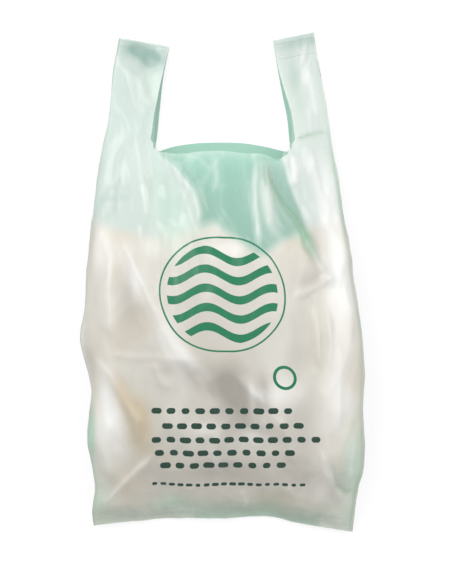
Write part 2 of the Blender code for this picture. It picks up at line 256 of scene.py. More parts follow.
@dataclass(frozen=True)
class FoldLine:
    """One fold of the front panel, along a route in metres from the middle line and the lowest corner, with
    painted shade and a painted highlight along it.
    """

    route: Route
    height: float
    reach: float
    power: float = 1.6
    # Painted shade darkening the crease, then painted highlight along it.
    crease_shade: float = 0.0
    gleam: float = 0.0
    fade: float = 0.25
    end_reach: float = 0.55

    def shares(self, places: np.ndarray) -> np.ndarray:
        """How strongly this fold shows.

        Args:
            places: X and Y of each point, one row a point.

        Returns:
            The share of each point, from 0 away from the fold to 1 along it.
        """
        route = np.array(self.route)
        runs = np.diff(route, axis=0)
        lengths = np.hypot(runs[:, 0], runs[:, 1])
        starts = np.append(0.0, np.cumsum(lengths))
        nearest = np.full(len(places), np.inf)
        along = np.zeros(len(places))
        for start, run, length, before in zip(route[:-1], runs, lengths, starts):
            share = np.clip(((places - start) @ run) / length**2, 0.0, 1.0)
            gap = np.linalg.norm(places - start - share[:, None] * run, axis=1)
            closer = gap < nearest
            nearest = np.where(closer, gap, nearest)
            along = np.where(closer, (before + share * length) / starts[-1], along)
        taper = smooth_step(0.0, self.fade, along) * smooth_step(0.0, self.fade, 1.0 - along)
        narrow = self.reach * (self.end_reach + (1.0 - self.end_reach) * taper)
        return taper * np.exp(-((nearest / narrow) ** self.power))


@dataclass(frozen=True)
class TonePatch:
    """A soft patch of one tone on the front, its middle and reach in metres and its turn in degrees."""

    tone: Tone
    middle: tuple[float, float]
    reach: tuple[float, float]
    strength: float
    turn: float = 0.0

    def shares(self, places: np.ndarray) -> np.ndarray:
        """How strongly the patch shows at each place.

        Args:
            places: X and Y of each point, one row a point.

        Returns:
            The share of each point, up to the patch's strength in its middle.
        """
        angle = math.radians(self.turn)
        off = places - np.array(self.middle)
        across = off[:, 0] * math.cos(angle) + off[:, 1] * math.sin(angle)
        along = off[:, 1] * math.cos(angle) - off[:, 0] * math.sin(angle)
        far = (across / self.reach[0]) ** 2 + (along / self.reach[1]) ** 2
        return self.strength * np.exp(-far)


@dataclass(frozen=True)
class FineWaves:
    """The front's small waves: puckers above the weld and streaks drawn down from the mouth."""

    pucker_height: float = 0.0016
    pucker_lengths: Range = (0.031, 0.0193)
    pucker_phases: Range = (0.9, 2.1)
    pucker_shares: Range = (1.0, 0.7)
    pucker_rise: float = 0.012
    pucker_fade: float = 0.03
    streak_height: float = 0.0006
    streak_length: float = 0.024
    streak_bow: float = 40.0
    streak_bow_level: float = 0.4
    streak_level: float = 0.405
    streak_reach: float = 0.06

    def heights(self, x: np.ndarray, y: np.ndarray, above_weld: np.ndarray) -> np.ndarray:
        """Height of the waves at each point.

        Args:
            x: X of each point from the middle line.
            y: Y of each point from the lowest corner.
            above_weld: How far each point is above the weld.

        Returns:
            The height of each point.
        """
        waves = zip(self.pucker_shares, self.pucker_lengths, self.pucker_phases)
        pucker = sum(share * np.cos(x * 2 * math.pi / length + phase) for share, length, phase in waves)
        fade = np.exp(-np.clip(above_weld, 0.0, None) / self.pucker_fade)
        pucker *= self.pucker_height * smooth_step(0.0, self.pucker_rise, above_weld) * fade
        bow = self.streak_bow * (y - self.streak_bow_level) ** 2
        streak = np.cos(x * 2 * math.pi / self.streak_length + bow)
        return pucker + streak * bell(self.streak_level, self.streak_reach, y) * self.streak_height


@dataclass(frozen=True)
class FilmZones:
    """Where the film is milky, hazy or toned, painted shade and highlights included, in metres from the
    middle line and the lowest corner.
    """

    patches: Sequence[TonePatch]
    milk_edge: Knots
    left_haze: Knots
    right_haze: Knots
    milk_fade: Range = (-0.010, 0.008)
    least_milk: float = 0.62
    milk_rise: float = 0.03
    haze_fade: Range = (-0.004, 0.004)
    handle_fade: Range = (-0.02, 0.01)
    haze_share: float = 0.8
    weld_reach: float = 0.045

    def values(self, places: np.ndarray, above_edge: np.ndarray, above_mouth: np.ndarray) -> Columns:
        """What the finish reads at each point.

        Args:
            places: X and Y of each point, one row a point.
            above_edge: How far each point is above the bag's lower edge.
            above_mouth: How far each point is above the mouth.

        Returns:
            The value of each point, by the name of what it stands for.
        """
        x, y = places.T
        milk = 1.0 - smooth_step(*self.milk_fade, y - through(self.milk_edge, x))
        milk *= self.least_milk + (1.0 - self.least_milk) * smooth_step(0.0, self.milk_rise, above_edge)
        left = 1.0 - smooth_step(*self.haze_fade, x - through(self.left_haze, y))
        right = smooth_step(*self.haze_fade, x - through(self.right_haze, y))
        handle = smooth_step(*self.handle_fade, above_mouth)
        tones = {tone.value: np.zeros(len(places)) for tone in Tone}
        for patch in self.patches:
            tones[patch.tone.value] += patch.shares(places)
        return tones | {
            "full": milk,
            "haze": np.maximum(left, handle) * self.haze_share + right,
            "weld": 1.0 - smooth_step(0.0, self.weld_reach, above_edge),
        }


class Outlines:
    """The bag's outline, swell and rims as smooth curves."""

    SIDE_EDGE = {
        Side.LEFT: (
            (0.0, 0.503), (0.05, 0.512), (0.1, 0.496), (0.147, 0.51), (0.19, 0.522), (0.244, 0.514),
            (0.29, 0.507), (0.34, 0.527), (0.39, 0.544), (0.44, 0.534), (0.5, 0.53), (0.565, 0.521),
            (0.63, 0.503), (0.693, 0.493), (0.754, 0.473), (0.818, 0.452), (0.914, 0.434), (1.0, 0.404),
        ),
        Side.RIGHT: (
            (0.0, 0.501), (0.07, 0.514), (0.11, 0.52), (0.16, 0.541), (0.26, 0.531), (0.33, 0.535),
            (0.41, 0.531), (0.47, 0.512), (0.56, 0.489), (0.65, 0.46), (0.73, 0.434), (0.81, 0.414),
            (0.94, 0.37), (1.0, 0.353),
        ),
    }
    FRONT_RIM = (
        (-1.0, 0.0), (-0.58, -0.0011), (-0.41, -0.0044), (-0.19, -0.00286), (0.04, -0.00176),
        (0.24, -0.00396), (0.4, -0.00572), (0.53, -0.01078), (0.6, -0.0055), (1.0, 0.0),
    )
    BACK_RIM = (
        (-1.0, 0.0), (-0.58, 0.0), (-0.52, 0.00066), (-0.42, 0.00506), (-0.26, 0.00902), (0.01, 0.011),
        (0.24, 0.00979), (0.41, 0.00605), (0.59, 0.00033), (1.0, 0.0),
    )

    def __init__(self, sizes: FilmSizes) -> None:
        """Keep the sizes and work out the swell's knots.

        Args:
            sizes: The bag's sizes.
        """
        self.sizes = sizes
        mouth = sizes.mouth_level / sizes.laid_length
        self.swell_knots = (
            (0.0, 0.0), (0.02, 0.03), (0.06, 0.30), (0.12, 0.58), (0.20, 0.82), (0.33, 0.99), (0.42, 1.0),
            (0.52, 0.90), (0.62, 0.70), (0.70, 0.50), (mouth, sizes.mouth_height / sizes.body_height),
            (0.84, 0.24), (0.92, 0.13), (1.0, 0.0),
        )

    def swell(self, y: float) -> float:
        """How far the crown has risen at a station, from 0 to 1."""
        return float(through(self.swell_knots, y / self.sizes.laid_length))

    def half_width(self, side: Side, y: float) -> float:
        """Distance from the middle line to the outer fold on one side."""
        return self.sizes.panel_width * float(through(self.SIDE_EDGE[side], y / self.sizes.laid_length))

    def bottom_edge(self, x: Values) -> np.ndarray:
        """Y of the bag's lower edge at a distance from the middle line.

        Args:
            x: The distance, negative to the left.

        Returns:
            Y there.
        """
        sizes = self.sizes
        across = np.asarray(x, float) / (sizes.panel_width / 2)
        lobe = sizes.lobe_share * bell(sizes.lobe_place, sizes.lobe_reach, across)
        return sizes.bottom_wave * (sizes.bottom_middle - across**2 - across / sizes.bottom_lean + lobe)

    def rim(self, knots: Knots, across: Values) -> np.ndarray:
        """Y of one edge of the mouth, across from -1 to 1 over the panel."""
        return self.sizes.mouth_level + through(knots, across)

    def handle_top(self, side: Side, share: Values) -> np.ndarray:
        """Y of a handle's top edge, share 0 at its outer fold and 1 at its inner edge."""
        drop = self.sizes.left_top_drop if side is Side.LEFT else 0.0
        return self.sizes.laid_length - self.sizes.handle_slant * (drop + np.asarray(share, float))

    def weld_lift(self, x: np.ndarray, y: np.ndarray) -> np.ndarray:
        """Rise of the wavy bottom weld above the table, fading up the body.

        Args:
            x: X of each point from the middle line.
            y: Y of each point from the lowest corner.

        Returns:
            The rise of each point.
        """
        sizes = self.sizes
        near = 1.0 - smooth_step(0.0, sizes.weld_lift_reach, y - self.bottom_edge(x))
        turns = sizes.weld_half_waves * math.pi * x / sizes.panel_width + sizes.weld_phase
        return sizes.weld_lift * near * (1.0 + np.cos(turns)) / 2


class CrossSection:
    """Half of the bag's cross-section at one station, from its crown to its tuck and back."""

    def __init__(self, outlines: Outlines, counts: CellCounts, side: Side, y: float) -> None:
        """Work out the section's outline.

        Args:
            outlines: The bag's outline curves.
            counts: How finely the film is divided.
            side: Which half of the section it is.
            y: The station, from the lowest corner.
        """
        sizes = outlines.sizes
        swell = outlines.swell(y)
        height = sizes.stack + swell * (sizes.body_height - sizes.stack)
        left, right = (outlines.half_width(each, y) for each in Side)
        self.middle = 0.5 * (right - left)
        self.reach = 0.5 * (right + left)
        self.level = height * (0.5 + (sizes.tuck_level - 0.5) * float(smooth_step(0.0, 0.5, swell)))
        loop = bell(sizes.loop_station * sizes.laid_length, sizes.loop_reach, y)
        self.slot = sizes.ply_pitch + sizes.tuck_opening * swell + sizes.loop_opening * float(loop)
        if side is Side.LEFT:
            dart = bell(sizes.dart_station * sizes.laid_length, sizes.dart_reach, y)
            self.slot += sizes.dart_opening * float(dart)
        self.lip = 0.5 * sizes.ply_pitch + sizes.lip_radius * swell
        self.upper_lip = self.level + self.slot / 2 + self.lip
        lower_lip = self.level - self.slot / 2 - self.lip
        turns = np.linspace(0.0, math.pi / 2, counts.outline)
        self.front = self.measured(
            self.reach * np.sin(turns) ** (2 / sizes.crown_power),
            self.upper_lip + (height - self.upper_lip) * np.cos(turns) ** (2 / sizes.crown_power),
        )
        flat = sizes.back_flat * self.reach
        self.back = self.measured(
            np.append(0.0, flat + (self.reach - flat) * np.sin(turns)),
            np.append(sizes.table_gap, sizes.table_gap + (lower_lip - sizes.table_gap) * (1 - np.cos(turns))),
        )
        mean_length = 0.5 * (self.front[0][-1] + self.back[0][-1])
        self.depth = sizes.gusset_depth - max(0.0, mean_length - sizes.panel_width / 2)

    @staticmethod
    def measured(across: np.ndarray, heights: np.ndarray) -> Outline:
        """The outline from its outer fold to the middle, with the length of film from that fold first."""
        steps = np.hypot(np.diff(across), np.diff(heights))
        return np.append(0.0, np.cumsum(steps[::-1])), across[::-1], heights[::-1]

    @staticmethod
    def on(outline: Outline, distance: np.ndarray) -> Pair:
        """Across and height on the front or back outline, at distances from the outer fold."""
        return np.interp(distance, outline[0], outline[1]), np.interp(distance, outline[0], outline[2])

    def in_tuck(self, distance: np.ndarray, upper: bool) -> Pair:
        """Across and height on the tuck at distances along it from its rounded lip's start.

        Args:
            distance: The distances.
            upper: Whether it is the tuck's upper ply.

        Returns:
            Across and height of each point.
        """
        way = 1.0 if upper else -1.0
        turn = np.clip(distance / self.lip, 0.0, 1.0) * math.pi / 2
        flat = np.maximum(distance - self.lip, 0.0)
        across = self.reach - self.lip * (1 - np.cos(turn)) - flat
        return across, self.level + way * (self.slot / 2 + self.lip * (1 - np.sin(turn)))

    def round_tip(self, share: np.ndarray) -> Pair:
        """Across and height round the fold at the bottom of the tuck, share 0 on top and 1 below.

        Args:
            share: How far round the fold each point is.

        Returns:
            Across and height of each point.
        """
        turn = share * math.pi
        start = self.reach - self.depth
        return start - self.slot / 2 * np.sin(turn), self.level + self.slot / 2 * np.cos(turn)


@dataclass
class FilmRow:
    """A row of the film's points on one side: where each is on the smooth section and on the film."""

    side: Side
    section: CrossSection
    across: np.ndarray
    heights: np.ndarray
    lengths: np.ndarray
    codes: np.ndarray
    y: Values = 0.0

    @property
    def x(self) -> np.ndarray:
        """X of each point from the middle line."""
        return self.section.middle + self.side.value * self.across

    @property
    def on_front(self) -> np.ndarray:
        """Whether each point is on the front panel."""
        return self.codes == Ply.FRONT.value


class FilmPoints:
    """Points of the film as they are gathered, with what the finish reads at each."""

    def __init__(self) -> None:
        """Start without points."""
        self.columns: dict[str, list[np.ndarray]] = {}
        self.count = 0

    def add(self, **columns: np.ndarray) -> np.ndarray:
        """Append points.

        Args:
            columns: What is known of the points, by name, each with one row a point.

        Returns:
            The numbers of the new points.
        """
        first = self.count
        for name, rows in columns.items():
            self.columns.setdefault(name, []).append(rows)
            self.count = first + len(rows)
        return np.arange(first, self.count)

    def whole(self, name: str) -> np.ndarray:
        """One column of all the points."""
        return np.concatenate(self.columns[name])


@dataclass
class FilmSheet:
    """The whole bag as one sheet of film."""

    folds: Sequence[FoldLine]
    zones: FilmZones
    sizes: FilmSizes = FilmSizes()
    counts: CellCounts = CellCounts()
    waves: FineWaves = FineWaves()
    bottom_seams: tuple[int, ...] = (4, 8)
    left_top_seams: tuple[int, ...] = (-2, -4)
    right_top_seams: tuple[int, ...] = (-3, -9)
    merge_gap: float = 1e-5
    name: str = "bag_film"

    def __post_init__(self) -> None:
        """Work out the outlines and the places where the half ring changes ply."""
        counts = self.counts
        self.outlines = Outlines(self.sizes)
        self.front_strap = counts.mouth
        self.front_fold = counts.mouth + counts.strap
        self.tuck_cut = self.front_fold + counts.lip + counts.tuck_strap
        self.tip = self.tuck_cut + counts.tuck_rest + counts.tip
        self.lower_cut = 2 * self.tip - self.tuck_cut
        self.back_fold = 2 * self.tip - self.front_fold
        self.back_strap = self.back_fold + counts.back_strap
        self.back_middle = self.back_strap + counts.back_mouth
        self.seam_routes: list[np.ndarray] = []

    def strap_width(self, side: Side, climb: float) -> float:
        """Width of the handle on one side, as it lies, climb 0 at its root and 1 at its top.

        Args:
            side: Which handle it is.
            climb: How far up the handle it is.

        Returns:
            The width.
        """
        sizes = self.sizes
        width = sizes.handle_width * (sizes.right_handle_turn if side is Side.RIGHT else 1.0)
        return width + sizes.handle_flare * (1.0 - float(smooth_step(0.0, sizes.flare_reach, climb)))

    def strap_shares(self, side: Side) -> tuple[float, float]:
        """Shares of a half panel and of the tuck's flat part that the strap and the mouth's corner take.

        Args:
            side: Which handle it is.

        Returns:
            The share of the half panel and the share of the tuck.
        """
        section = CrossSection(self.outlines, self.counts, side, self.sizes.mouth_level)
        width = self.strap_width(side, 0.0) + self.sizes.mouth_radius
        return width / float(section.front[0][-1]), (width - section.lip) / (section.depth - section.lip)

    def half_ring(self, side: Side, station: float, strap: float, tuck: float) -> FilmRow:
        """Points of a half section.

        Args:
            side: Which half of the section it is.
            station: Where the section is, from the lowest corner.
            strap: The share of a half panel that belongs to the strap.
            tuck: The share of the tuck's flat part that belongs to the strap.

        Returns:
            The points as a row of film, without their places along the bag.
        """
        counts = self.counts
        section = CrossSection(self.outlines, counts, side, station)
        front, back = section.front[0][-1], section.back[0][-1]
        cut = section.lip + tuck * (section.depth - section.lip)
        fronts = spread((front, strap * front, 0.0), (counts.mouth, counts.strap))
        backs = spread((0.0, strap * back, back), (counts.back_strap, counts.back_mouth))
        stops = (0.0, section.lip, cut, section.depth)
        tucks = spread(stops, (counts.lip, counts.tuck_strap, counts.tuck_rest))[1:]
        half_tip = spread((0.0, 0.5), (counts.tip,))[1:]
        pieces = (
            section.on(section.front, fronts),
            section.in_tuck(tucks, True),
            section.round_tip(half_tip),
            section.round_tip(1.0 - half_tip[:-1][::-1]),
            section.in_tuck(tucks[::-1], False),
            section.on(section.back, backs),
        )
        across, heights = (np.concatenate(column) for column in zip(*pieces))
        steps = np.hypot(np.diff(across), np.diff(heights))
        codes = np.zeros(self.back_middle + 1, int)
        codes[self.front_fold + 1:] = Ply.UPPER_TUCK.value
        codes[self.tip + 1:] = Ply.LOWER_TUCK.value
        codes[self.back_fold:] = Ply.BACK.value
        return FilmRow(side, section, across, heights, np.append(0.0, np.cumsum(steps)), codes)

    def rooms(self, row: FilmRow) -> np.ndarray:
        """How far each point may move before it meets another ply, in metres.

        Args:
            row: The row of film.

        Returns:
            The room of each point.
        """
        sizes, section, heights = self.sizes, row.section, row.heights
        over_tuck = np.clip((heights - section.upper_lip + section.lip) / 2, 0.0, sizes.front_room)
        tuck_room = min(sizes.slot_room_share * section.slot, sizes.lip_room_share * section.lip)
        back_room = sizes.back_room * smooth_step(sizes.back_flat, 1.0, row.across / section.reach)
        back_room = np.minimum(back_room, np.clip(heights - 0.5 * sizes.table_gap, 0.0, None))
        return np.choose(row.codes, (over_tuck, tuck_room, tuck_room, back_room))

    def folded(self, measure: str, places: np.ndarray) -> np.ndarray:
        """One measure of the folds, summed where they lie.

        Args:
            measure: The name of the measure, such as height.
            places: X and Y of each point, one row a point.

        Returns:
            The sum at each point.
        """
        folds = [fold for fold in self.folds if getattr(fold, measure)]
        return sum((getattr(fold, measure) * fold.shares(places) for fold in folds), np.zeros(len(places)))

    def raised(self, row: FilmRow) -> np.ndarray:
        """Each point's height with the front's folds and small waves and the weld's lift.

        Args:
            row: The row of film.

        Returns:
            The raised height of each point.
        """
        sizes, section = self.sizes, row.section
        relief = (section.upper_lip - section.slot / 2) / (sizes.relief_share * sizes.body_height)
        relief = min(1.0, sizes.least_relief + relief)
        edge = 1.0 - np.clip(row.across / section.reach, 0.0, 1.0) ** sizes.relief_power
        x, y = row.x, row.y
        rise = self.folded("height", np.column_stack((x, y)))
        rise += self.waves.heights(x, y, y - self.outlines.bottom_edge(x) - sizes.bottom_weld)
        return row.heights + np.where(row.on_front, rise * relief * edge, 0.0) + self.outlines.weld_lift(x, y)

    def add_row(self, points: FilmPoints, row: FilmRow) -> np.ndarray:
        """Add a row to the film's points, with its folds, and give its point numbers.

        Args:
            points: Where the points are gathered.
            row: The row of film.

        Returns:
            The numbers of the row's points.
        """
        inset = self.sizes.rim_inset if row.side is Side.RIGHT else 0.0
        return points.add(
            places=np.column_stack((row.x, row.y, self.raised(row))),
            film=np.column_stack((row.side.value * row.lengths, row.y)),
            plies=row.codes,
            rooms=self.rooms(row),
            # A band along each outer fold, darkened in the finish as painted shade.
            rims=bell(row.section.reach - inset, self.sizes.rim_reach, row.across) * row.on_front,
        )

    def body_rows(self, points: FilmPoints, side: Side) -> np.ndarray:
        """Add one side of the body, from the weld's free edge to the mouth.

        Args:
            points: Where the points are gathered.
            side: Which side is added.

        Returns:
            The numbers of the points, one row of the array a row of film.
        """
        sizes, counts, outlines = self.sizes, self.counts, self.outlines
        strap_shares = self.strap_shares(side)
        ring = np.arange(self.back_middle + 1)
        strap = (ring > self.front_strap) & (ring < self.back_strap)
        inside = (ring > self.tuck_cut) & (ring < self.lower_cut)
        start = sizes.bottom_wave
        rows = []
        for number in range(counts.body_rows + 1):
            share = number / counts.body_rows
            share -= counts.row_ease * math.sin(2 * math.pi * share) / (2 * math.pi)
            row = self.half_ring(side, start + share * (sizes.mouth_level - start), *strap_shares)
            panel = side.value * row.across / row.section.reach
            high = outlines.rim(Outlines.FRONT_RIM, np.where(strap, side.value, panel))
            high = np.where(ring >= self.back_strap, outlines.rim(Outlines.BACK_RIM, panel), high)
            high = np.where(inside, high - sizes.tuck_drop, high)
            low = outlines.bottom_edge(row.x)
            row.y = low + share * (high - low)
            rows.append(self.add_row(points, row))
        return np.array(rows)

    def strap_rows(self, points: FilmPoints, side: Side, front: bool) -> np.ndarray:
        """Add the front or the back strap of one handle, from above the mouth to its top edge.

        Args:
            points: Where the points are gathered.
            side: Which handle it is.
            front: Whether it is the front strap.

        Returns:
            The numbers of the points, one row of the array a row of film.
        """
        sizes, counts, outlines = self.sizes, self.counts, self.outlines
        cells = counts.strap if front else counts.back_strap
        plies = (Ply.FRONT, Ply.UPPER_TUCK) if front else (Ply.BACK, Ply.LOWER_TUCK)
        codes = np.repeat([ply.value for ply in plies], (cells + 1, counts.lip + counts.tuck_strap))
        panel_shares = np.linspace(1.0, 0.0, cells + 1)
        rim = float(outlines.rim(Outlines.FRONT_RIM, side.value))
        rows = []
        for number in range(1, counts.corner_rows + counts.handle_rows + 1):
            angle = min(number / counts.corner_rows, 1.0) * math.pi / 2
            climb = max(0.0, (number - counts.corner_rows) / counts.handle_rows)
            width = self.strap_width(side, climb) + sizes.mouth_radius * (1 - math.sin(angle))
            fall = 1 - smooth_step(*sizes.inset_fall, climb)
            inset = sizes.strap_inset * float(smooth_step(*sizes.inset_rise, climb) * fall)
            root = rim + sizes.mouth_radius * (1 - math.cos(angle))
            fold_y = root + climb * (float(outlines.handle_top(side, 0.0)) - root)
            section = CrossSection(outlines, counts, side, fold_y)
            panel = panel_shares * (width - (inset if front else 0.0))
            tuck = spread((0.0, section.lip, width - inset), (counts.lip, counts.tuck_strap))[1:]
            pieces = section.on(section.front if front else section.back, panel), section.in_tuck(tuck, front)
            across, heights = (np.concatenate(column) for column in zip(*pieces))
            lengths = sizes.panel_width / 2 + np.append(-panel, tuck)
            top = outlines.handle_top(side, np.append(panel_shares, tuck / width))
            row = FilmRow(side, section, across, heights, lengths, codes, root + climb * (top - root))
            rows.append(self.add_row(points, row))
        return np.array(rows)

    @staticmethod
    def grid_faces(*grids: np.ndarray, flip: bool) -> list[tuple[int, ...]]:
        """Quads between neighbouring rows of point numbers.

        Args:
            grids: Point numbers in rows, each grid standing on the one before.
            flip: Whether the quads are turned round, as on the left side.

        Returns:
            The point numbers of each quad.
        """
        grid = np.vstack(grids)
        first, second = grid[:-1, :-1].ravel(), grid[:-1, 1:].ravel()
        third, fourth = grid[1:, 1:].ravel(), grid[1:, :-1].ravel()
        order = (fourth, third, second, first) if flip else (first, second, third, fourth)
        return list(zip(*(numbers.tolist() for numbers in order)))

    def build(self) -> bpy.types.Object:
        """Build the film as a mesh object with its film places and rooms as attributes.

        Returns:
            The film's object, placed on the table with its box round the origin.
        """
        points = FilmPoints()
        faces: list[tuple[int, ...]] = []
        seams: list[np.ndarray] = []
        for side, top_seams in ((Side.RIGHT, self.right_top_seams), (Side.LEFT, self.left_top_seams)):
            flip = side is Side.LEFT
            body = self.body_rows(points, side)
            front = self.strap_rows(points, side, True)
            back = self.back_order(self.strap_rows(points, side, False))
            faces += self.grid_faces(body, flip=flip)
            faces += self.grid_faces(body[-1:, self.front_strap:self.tuck_cut + 1], front, flip=flip)
            faces += self.grid_faces(body[-1:, self.lower_cut:self.back_strap + 1], back, flip=flip)
            seams += [body[row, :self.front_fold - 1] for row in self.bottom_seams]
            seams += [front[row, 1:self.counts.strap] for row in top_seams]
        whole = points.whole("places")
        places = whole - self.centre(whole)
        mesh = bpy.data.meshes.new(self.name)
        mesh.from_pydata(places.tolist(), [], faces)
        self.add_attributes(mesh, points)
        film = placed(self.name, mesh)
        self.seam_routes = [places[row] for row in seams]
        self.join_middle(mesh)
        mesh.shade_smooth()
        return film

    def settled_seams(self, film: bpy.types.Object) -> list[np.ndarray]:
        """The seals' routes, laid on the crumpled film.

        Args:
            film: The film's object.

        Returns:
            Points of each route, one row a point.
        """
        verts = film.data.vertices
        tree = KDTree(len(verts))
        for vert in verts:
            tree.insert(vert.co, vert.index)
        tree.balance()
        return [np.array([tree.find(point)[0] for point in route]) for route in self.seam_routes]

    def back_order(self, strap: np.ndarray) -> np.ndarray:
        """Point numbers of a back strap in the body's order, from the tuck's cut to the strap's edge."""
        cells = self.counts.back_strap
        return np.hstack((strap[:, :cells:-1], strap[:, cells::-1]))

    @staticmethod
    def centre(places: np.ndarray) -> np.ndarray:
        """What moves the box's middle to the origin, with the height kept."""
        low, high = places.min(axis=0), places.max(axis=0)
        return 0.5 * (low + high) * (1.0, 1.0, 0.0)

    def add_attributes(self, mesh: bpy.types.Mesh, points: FilmPoints) -> None:
        """Store each point's place on the film and what the finish reads there.

        Args:
            mesh: The film's mesh.
            points: The gathered points.
        """
        plies, places = points.whole("plies"), points.whole("places")[:, :2]
        x, y = places.T
        values = self.zones.values(places, y - self.outlines.bottom_edge(x), y - self.sizes.mouth_level)
        values |= {
            "room": points.whole("rooms"),
            # The rim band and the creases carry painted shade, the gleams a painted highlight.
            "rim": points.whole("rims"),
            "front": plies == Ply.FRONT.value,
            "tuck": np.isin(plies, (Ply.UPPER_TUCK.value, Ply.LOWER_TUCK.value)),
            "crease_shade": self.folded("crease_shade", places),
            "gleam": self.folded("gleam", places),
        }
        for name, column in values.items():
            store(mesh, name, column)
        loops = np.empty(len(mesh.loops), dtype=np.int32)
        mesh.loops.foreach_get("vertex_index", loops)
        layer = mesh.uv_layers.new(name="film")
        layer.data.foreach_set("uv", points.whole("film")[loops].astype(np.float32).ravel())

    def join_middle(self, mesh: bpy.types.Mesh) -> None:
        """Join the two halves along the middles of the panels.

        Args:
            mesh: The film's mesh.
        """
        work = bmesh.new()
        work.from_mesh(mesh)
        middle = [vert for vert in work.verts if vert.is_boundary]
        bmesh.ops.remove_doubles(work, verts=middle, dist=self.merge_gap)
        work.to_mesh(mesh)
        work.free()


Socket = bpy.types.NodeSocket


class Term:
    """One value in a node tree, whose arithmetic adds Math nodes."""

    def __init__(self, wiring: "Wiring", socket: Socket) -> None:
        """Keep the socket and the wiring of its tree."""
        self.wiring = wiring
        self.socket = socket

    def __add__(self, other: "Value") -> "Term":
        """Sum of two values."""
        return self.wiring.math("ADD", self, other)

    def __sub__(self, other: "Value") -> "Term":
        """Difference of two values."""
        return self.wiring.math("SUBTRACT", self, other)

    def __rsub__(self, other: float) -> "Term":
        """A number less the value."""
        return self.wiring.math("SUBTRACT", other, self)

    def __mul__(self, other: "Value") -> "Term":
        """Product of two values."""
        return self.wiring.math("MULTIPLY", self, other)

    def __abs__(self) -> "Term":
        """The value without its sign."""
        return self.wiring.math("ABSOLUTE", self)

    def __lt__(self, other: "Value") -> "Term":
        """1 where the value is smaller than the other, else 0."""
        return self.wiring.math("LESS_THAN", self, other)

    def __gt__(self, other: "Value") -> "Term":
        """1 where the value is larger than the other, else 0."""
        return self.wiring.math("GREATER_THAN", self, other)

    def most(self, other: "Value") -> "Term":
        """The larger of two values."""
        return self.wiring.math("MAXIMUM", self, other)

    def least(self, other: "Value") -> "Term":
        """The smaller of two values."""
        return self.wiring.math("MINIMUM", self, other)


Value = float | Term
Inputs = dict[str | int, object]


class Wiring:
    """Short calls for wiring a node tree."""

    def __init__(self, tree: bpy.types.NodeTree) -> None:
        """Keep the tree."""
        self.tree = tree

    def put(self, socket: Socket, value: object) -> None:
        """Link a socket, or set its value."""
        if isinstance(value, Term):
            self.tree.links.new(value.socket, socket)
        else:
            socket.default_value = value

    def node(self, kind: str, inputs: Inputs | None = None, **settings: object) -> bpy.types.Node:
        """Add a node.

        Args:
            kind: The node's type.
            inputs: What goes into its sockets, by name or number.
            settings: The node's own settings.

        Returns:
            The node.
        """
        node = self.tree.nodes.new(kind)
        for name, setting in settings.items():
            setattr(node, name, setting)
        for name, value in (inputs or {}).items():
            self.put(node.inputs[name], value)
        return node

    def get(self, kind: str, inputs: Inputs | None = None, output: str | int = 0, **settings: object) -> Term:
        """Add a node and give one of its outputs."""
        return Term(self, self.node(kind, inputs, **settings).outputs[output])

    def math(self, operation: str, first: Value, second: Value = 0.0) -> Term:
        """One Math node's result."""
        return self.get("ShaderNodeMath", {0: first, 1: second}, operation=operation)

    def length(self, first: Term, second: Term) -> Term:
        """Length of a way whose two legs are square to each other."""
        return self.math("SQRT", first * first + second * second)

    def vector(self, operation: str, first: object, second: object) -> Term:
        """One Vector Math node's vector."""
        return self.get("ShaderNodeVectorMath", {0: first, 1: second}, operation=operation)

    def flat(self, place: Term) -> tuple[Term, Term]:
        """X and Y of a place."""
        node = self.node("ShaderNodeSeparateXYZ", {0: place})
        return Term(self, node.outputs[0]), Term(self, node.outputs[1])

    def step(self, value: Value, low: float, high: float, start: float = 0.0, end: float = 1.0) -> Term:
        """A smooth step of a value between two limits."""
        inputs = {"Value": value, "From Min": low, "From Max": high, "To Min": start, "To Max": end}
        return self.get("ShaderNodeMapRange", inputs, interpolation_type="SMOOTHSTEP")

    def layers(self, base: object, layers: Iterable[tuple[Value, object]]) -> Term:
        """A colour with others laid over it in turn, each by its share."""
        for share, colour in layers:
            base = self.get("ShaderNodeMix", {0: share, 6: base, 7: colour}, 2, data_type="RGBA")
        return base

    def noise(self, place: Term, scale: float, detail: float, roughness: float) -> Term:
        """A noise texture's value."""
        inputs = {"Vector": place, "Scale": scale, "Detail": detail, "Roughness": roughness}
        return self.get("ShaderNodeTexNoise", inputs)

    def cells(self, place: Term, scale: Value) -> Term:
        """Distance to the middle of the nearest Voronoi cell."""
        return self.get("ShaderNodeTexVoronoi", {"Vector": place, "Scale": scale}, "Distance")

    def swirled(self, place: Term, scale: float, detail: float, amount: object) -> Term:
        """A place pushed about by a noise, by an amount along each axis.

        Args:
            place: The place.
            scale: The noise's scale.
            detail: The noise's detail.
            amount: The push, one number or one along each axis.

        Returns:
            The moved place.
        """
        swirl = self.get("ShaderNodeTexNoise", {"Vector": place, "Scale": scale, "Detail": detail}, "Color")
        swirl = self.vector("SUBTRACT", swirl, (0.5, 0.5, 0.5))
        return self.vector("ADD", place, self.vector("MULTIPLY", swirl, amount))


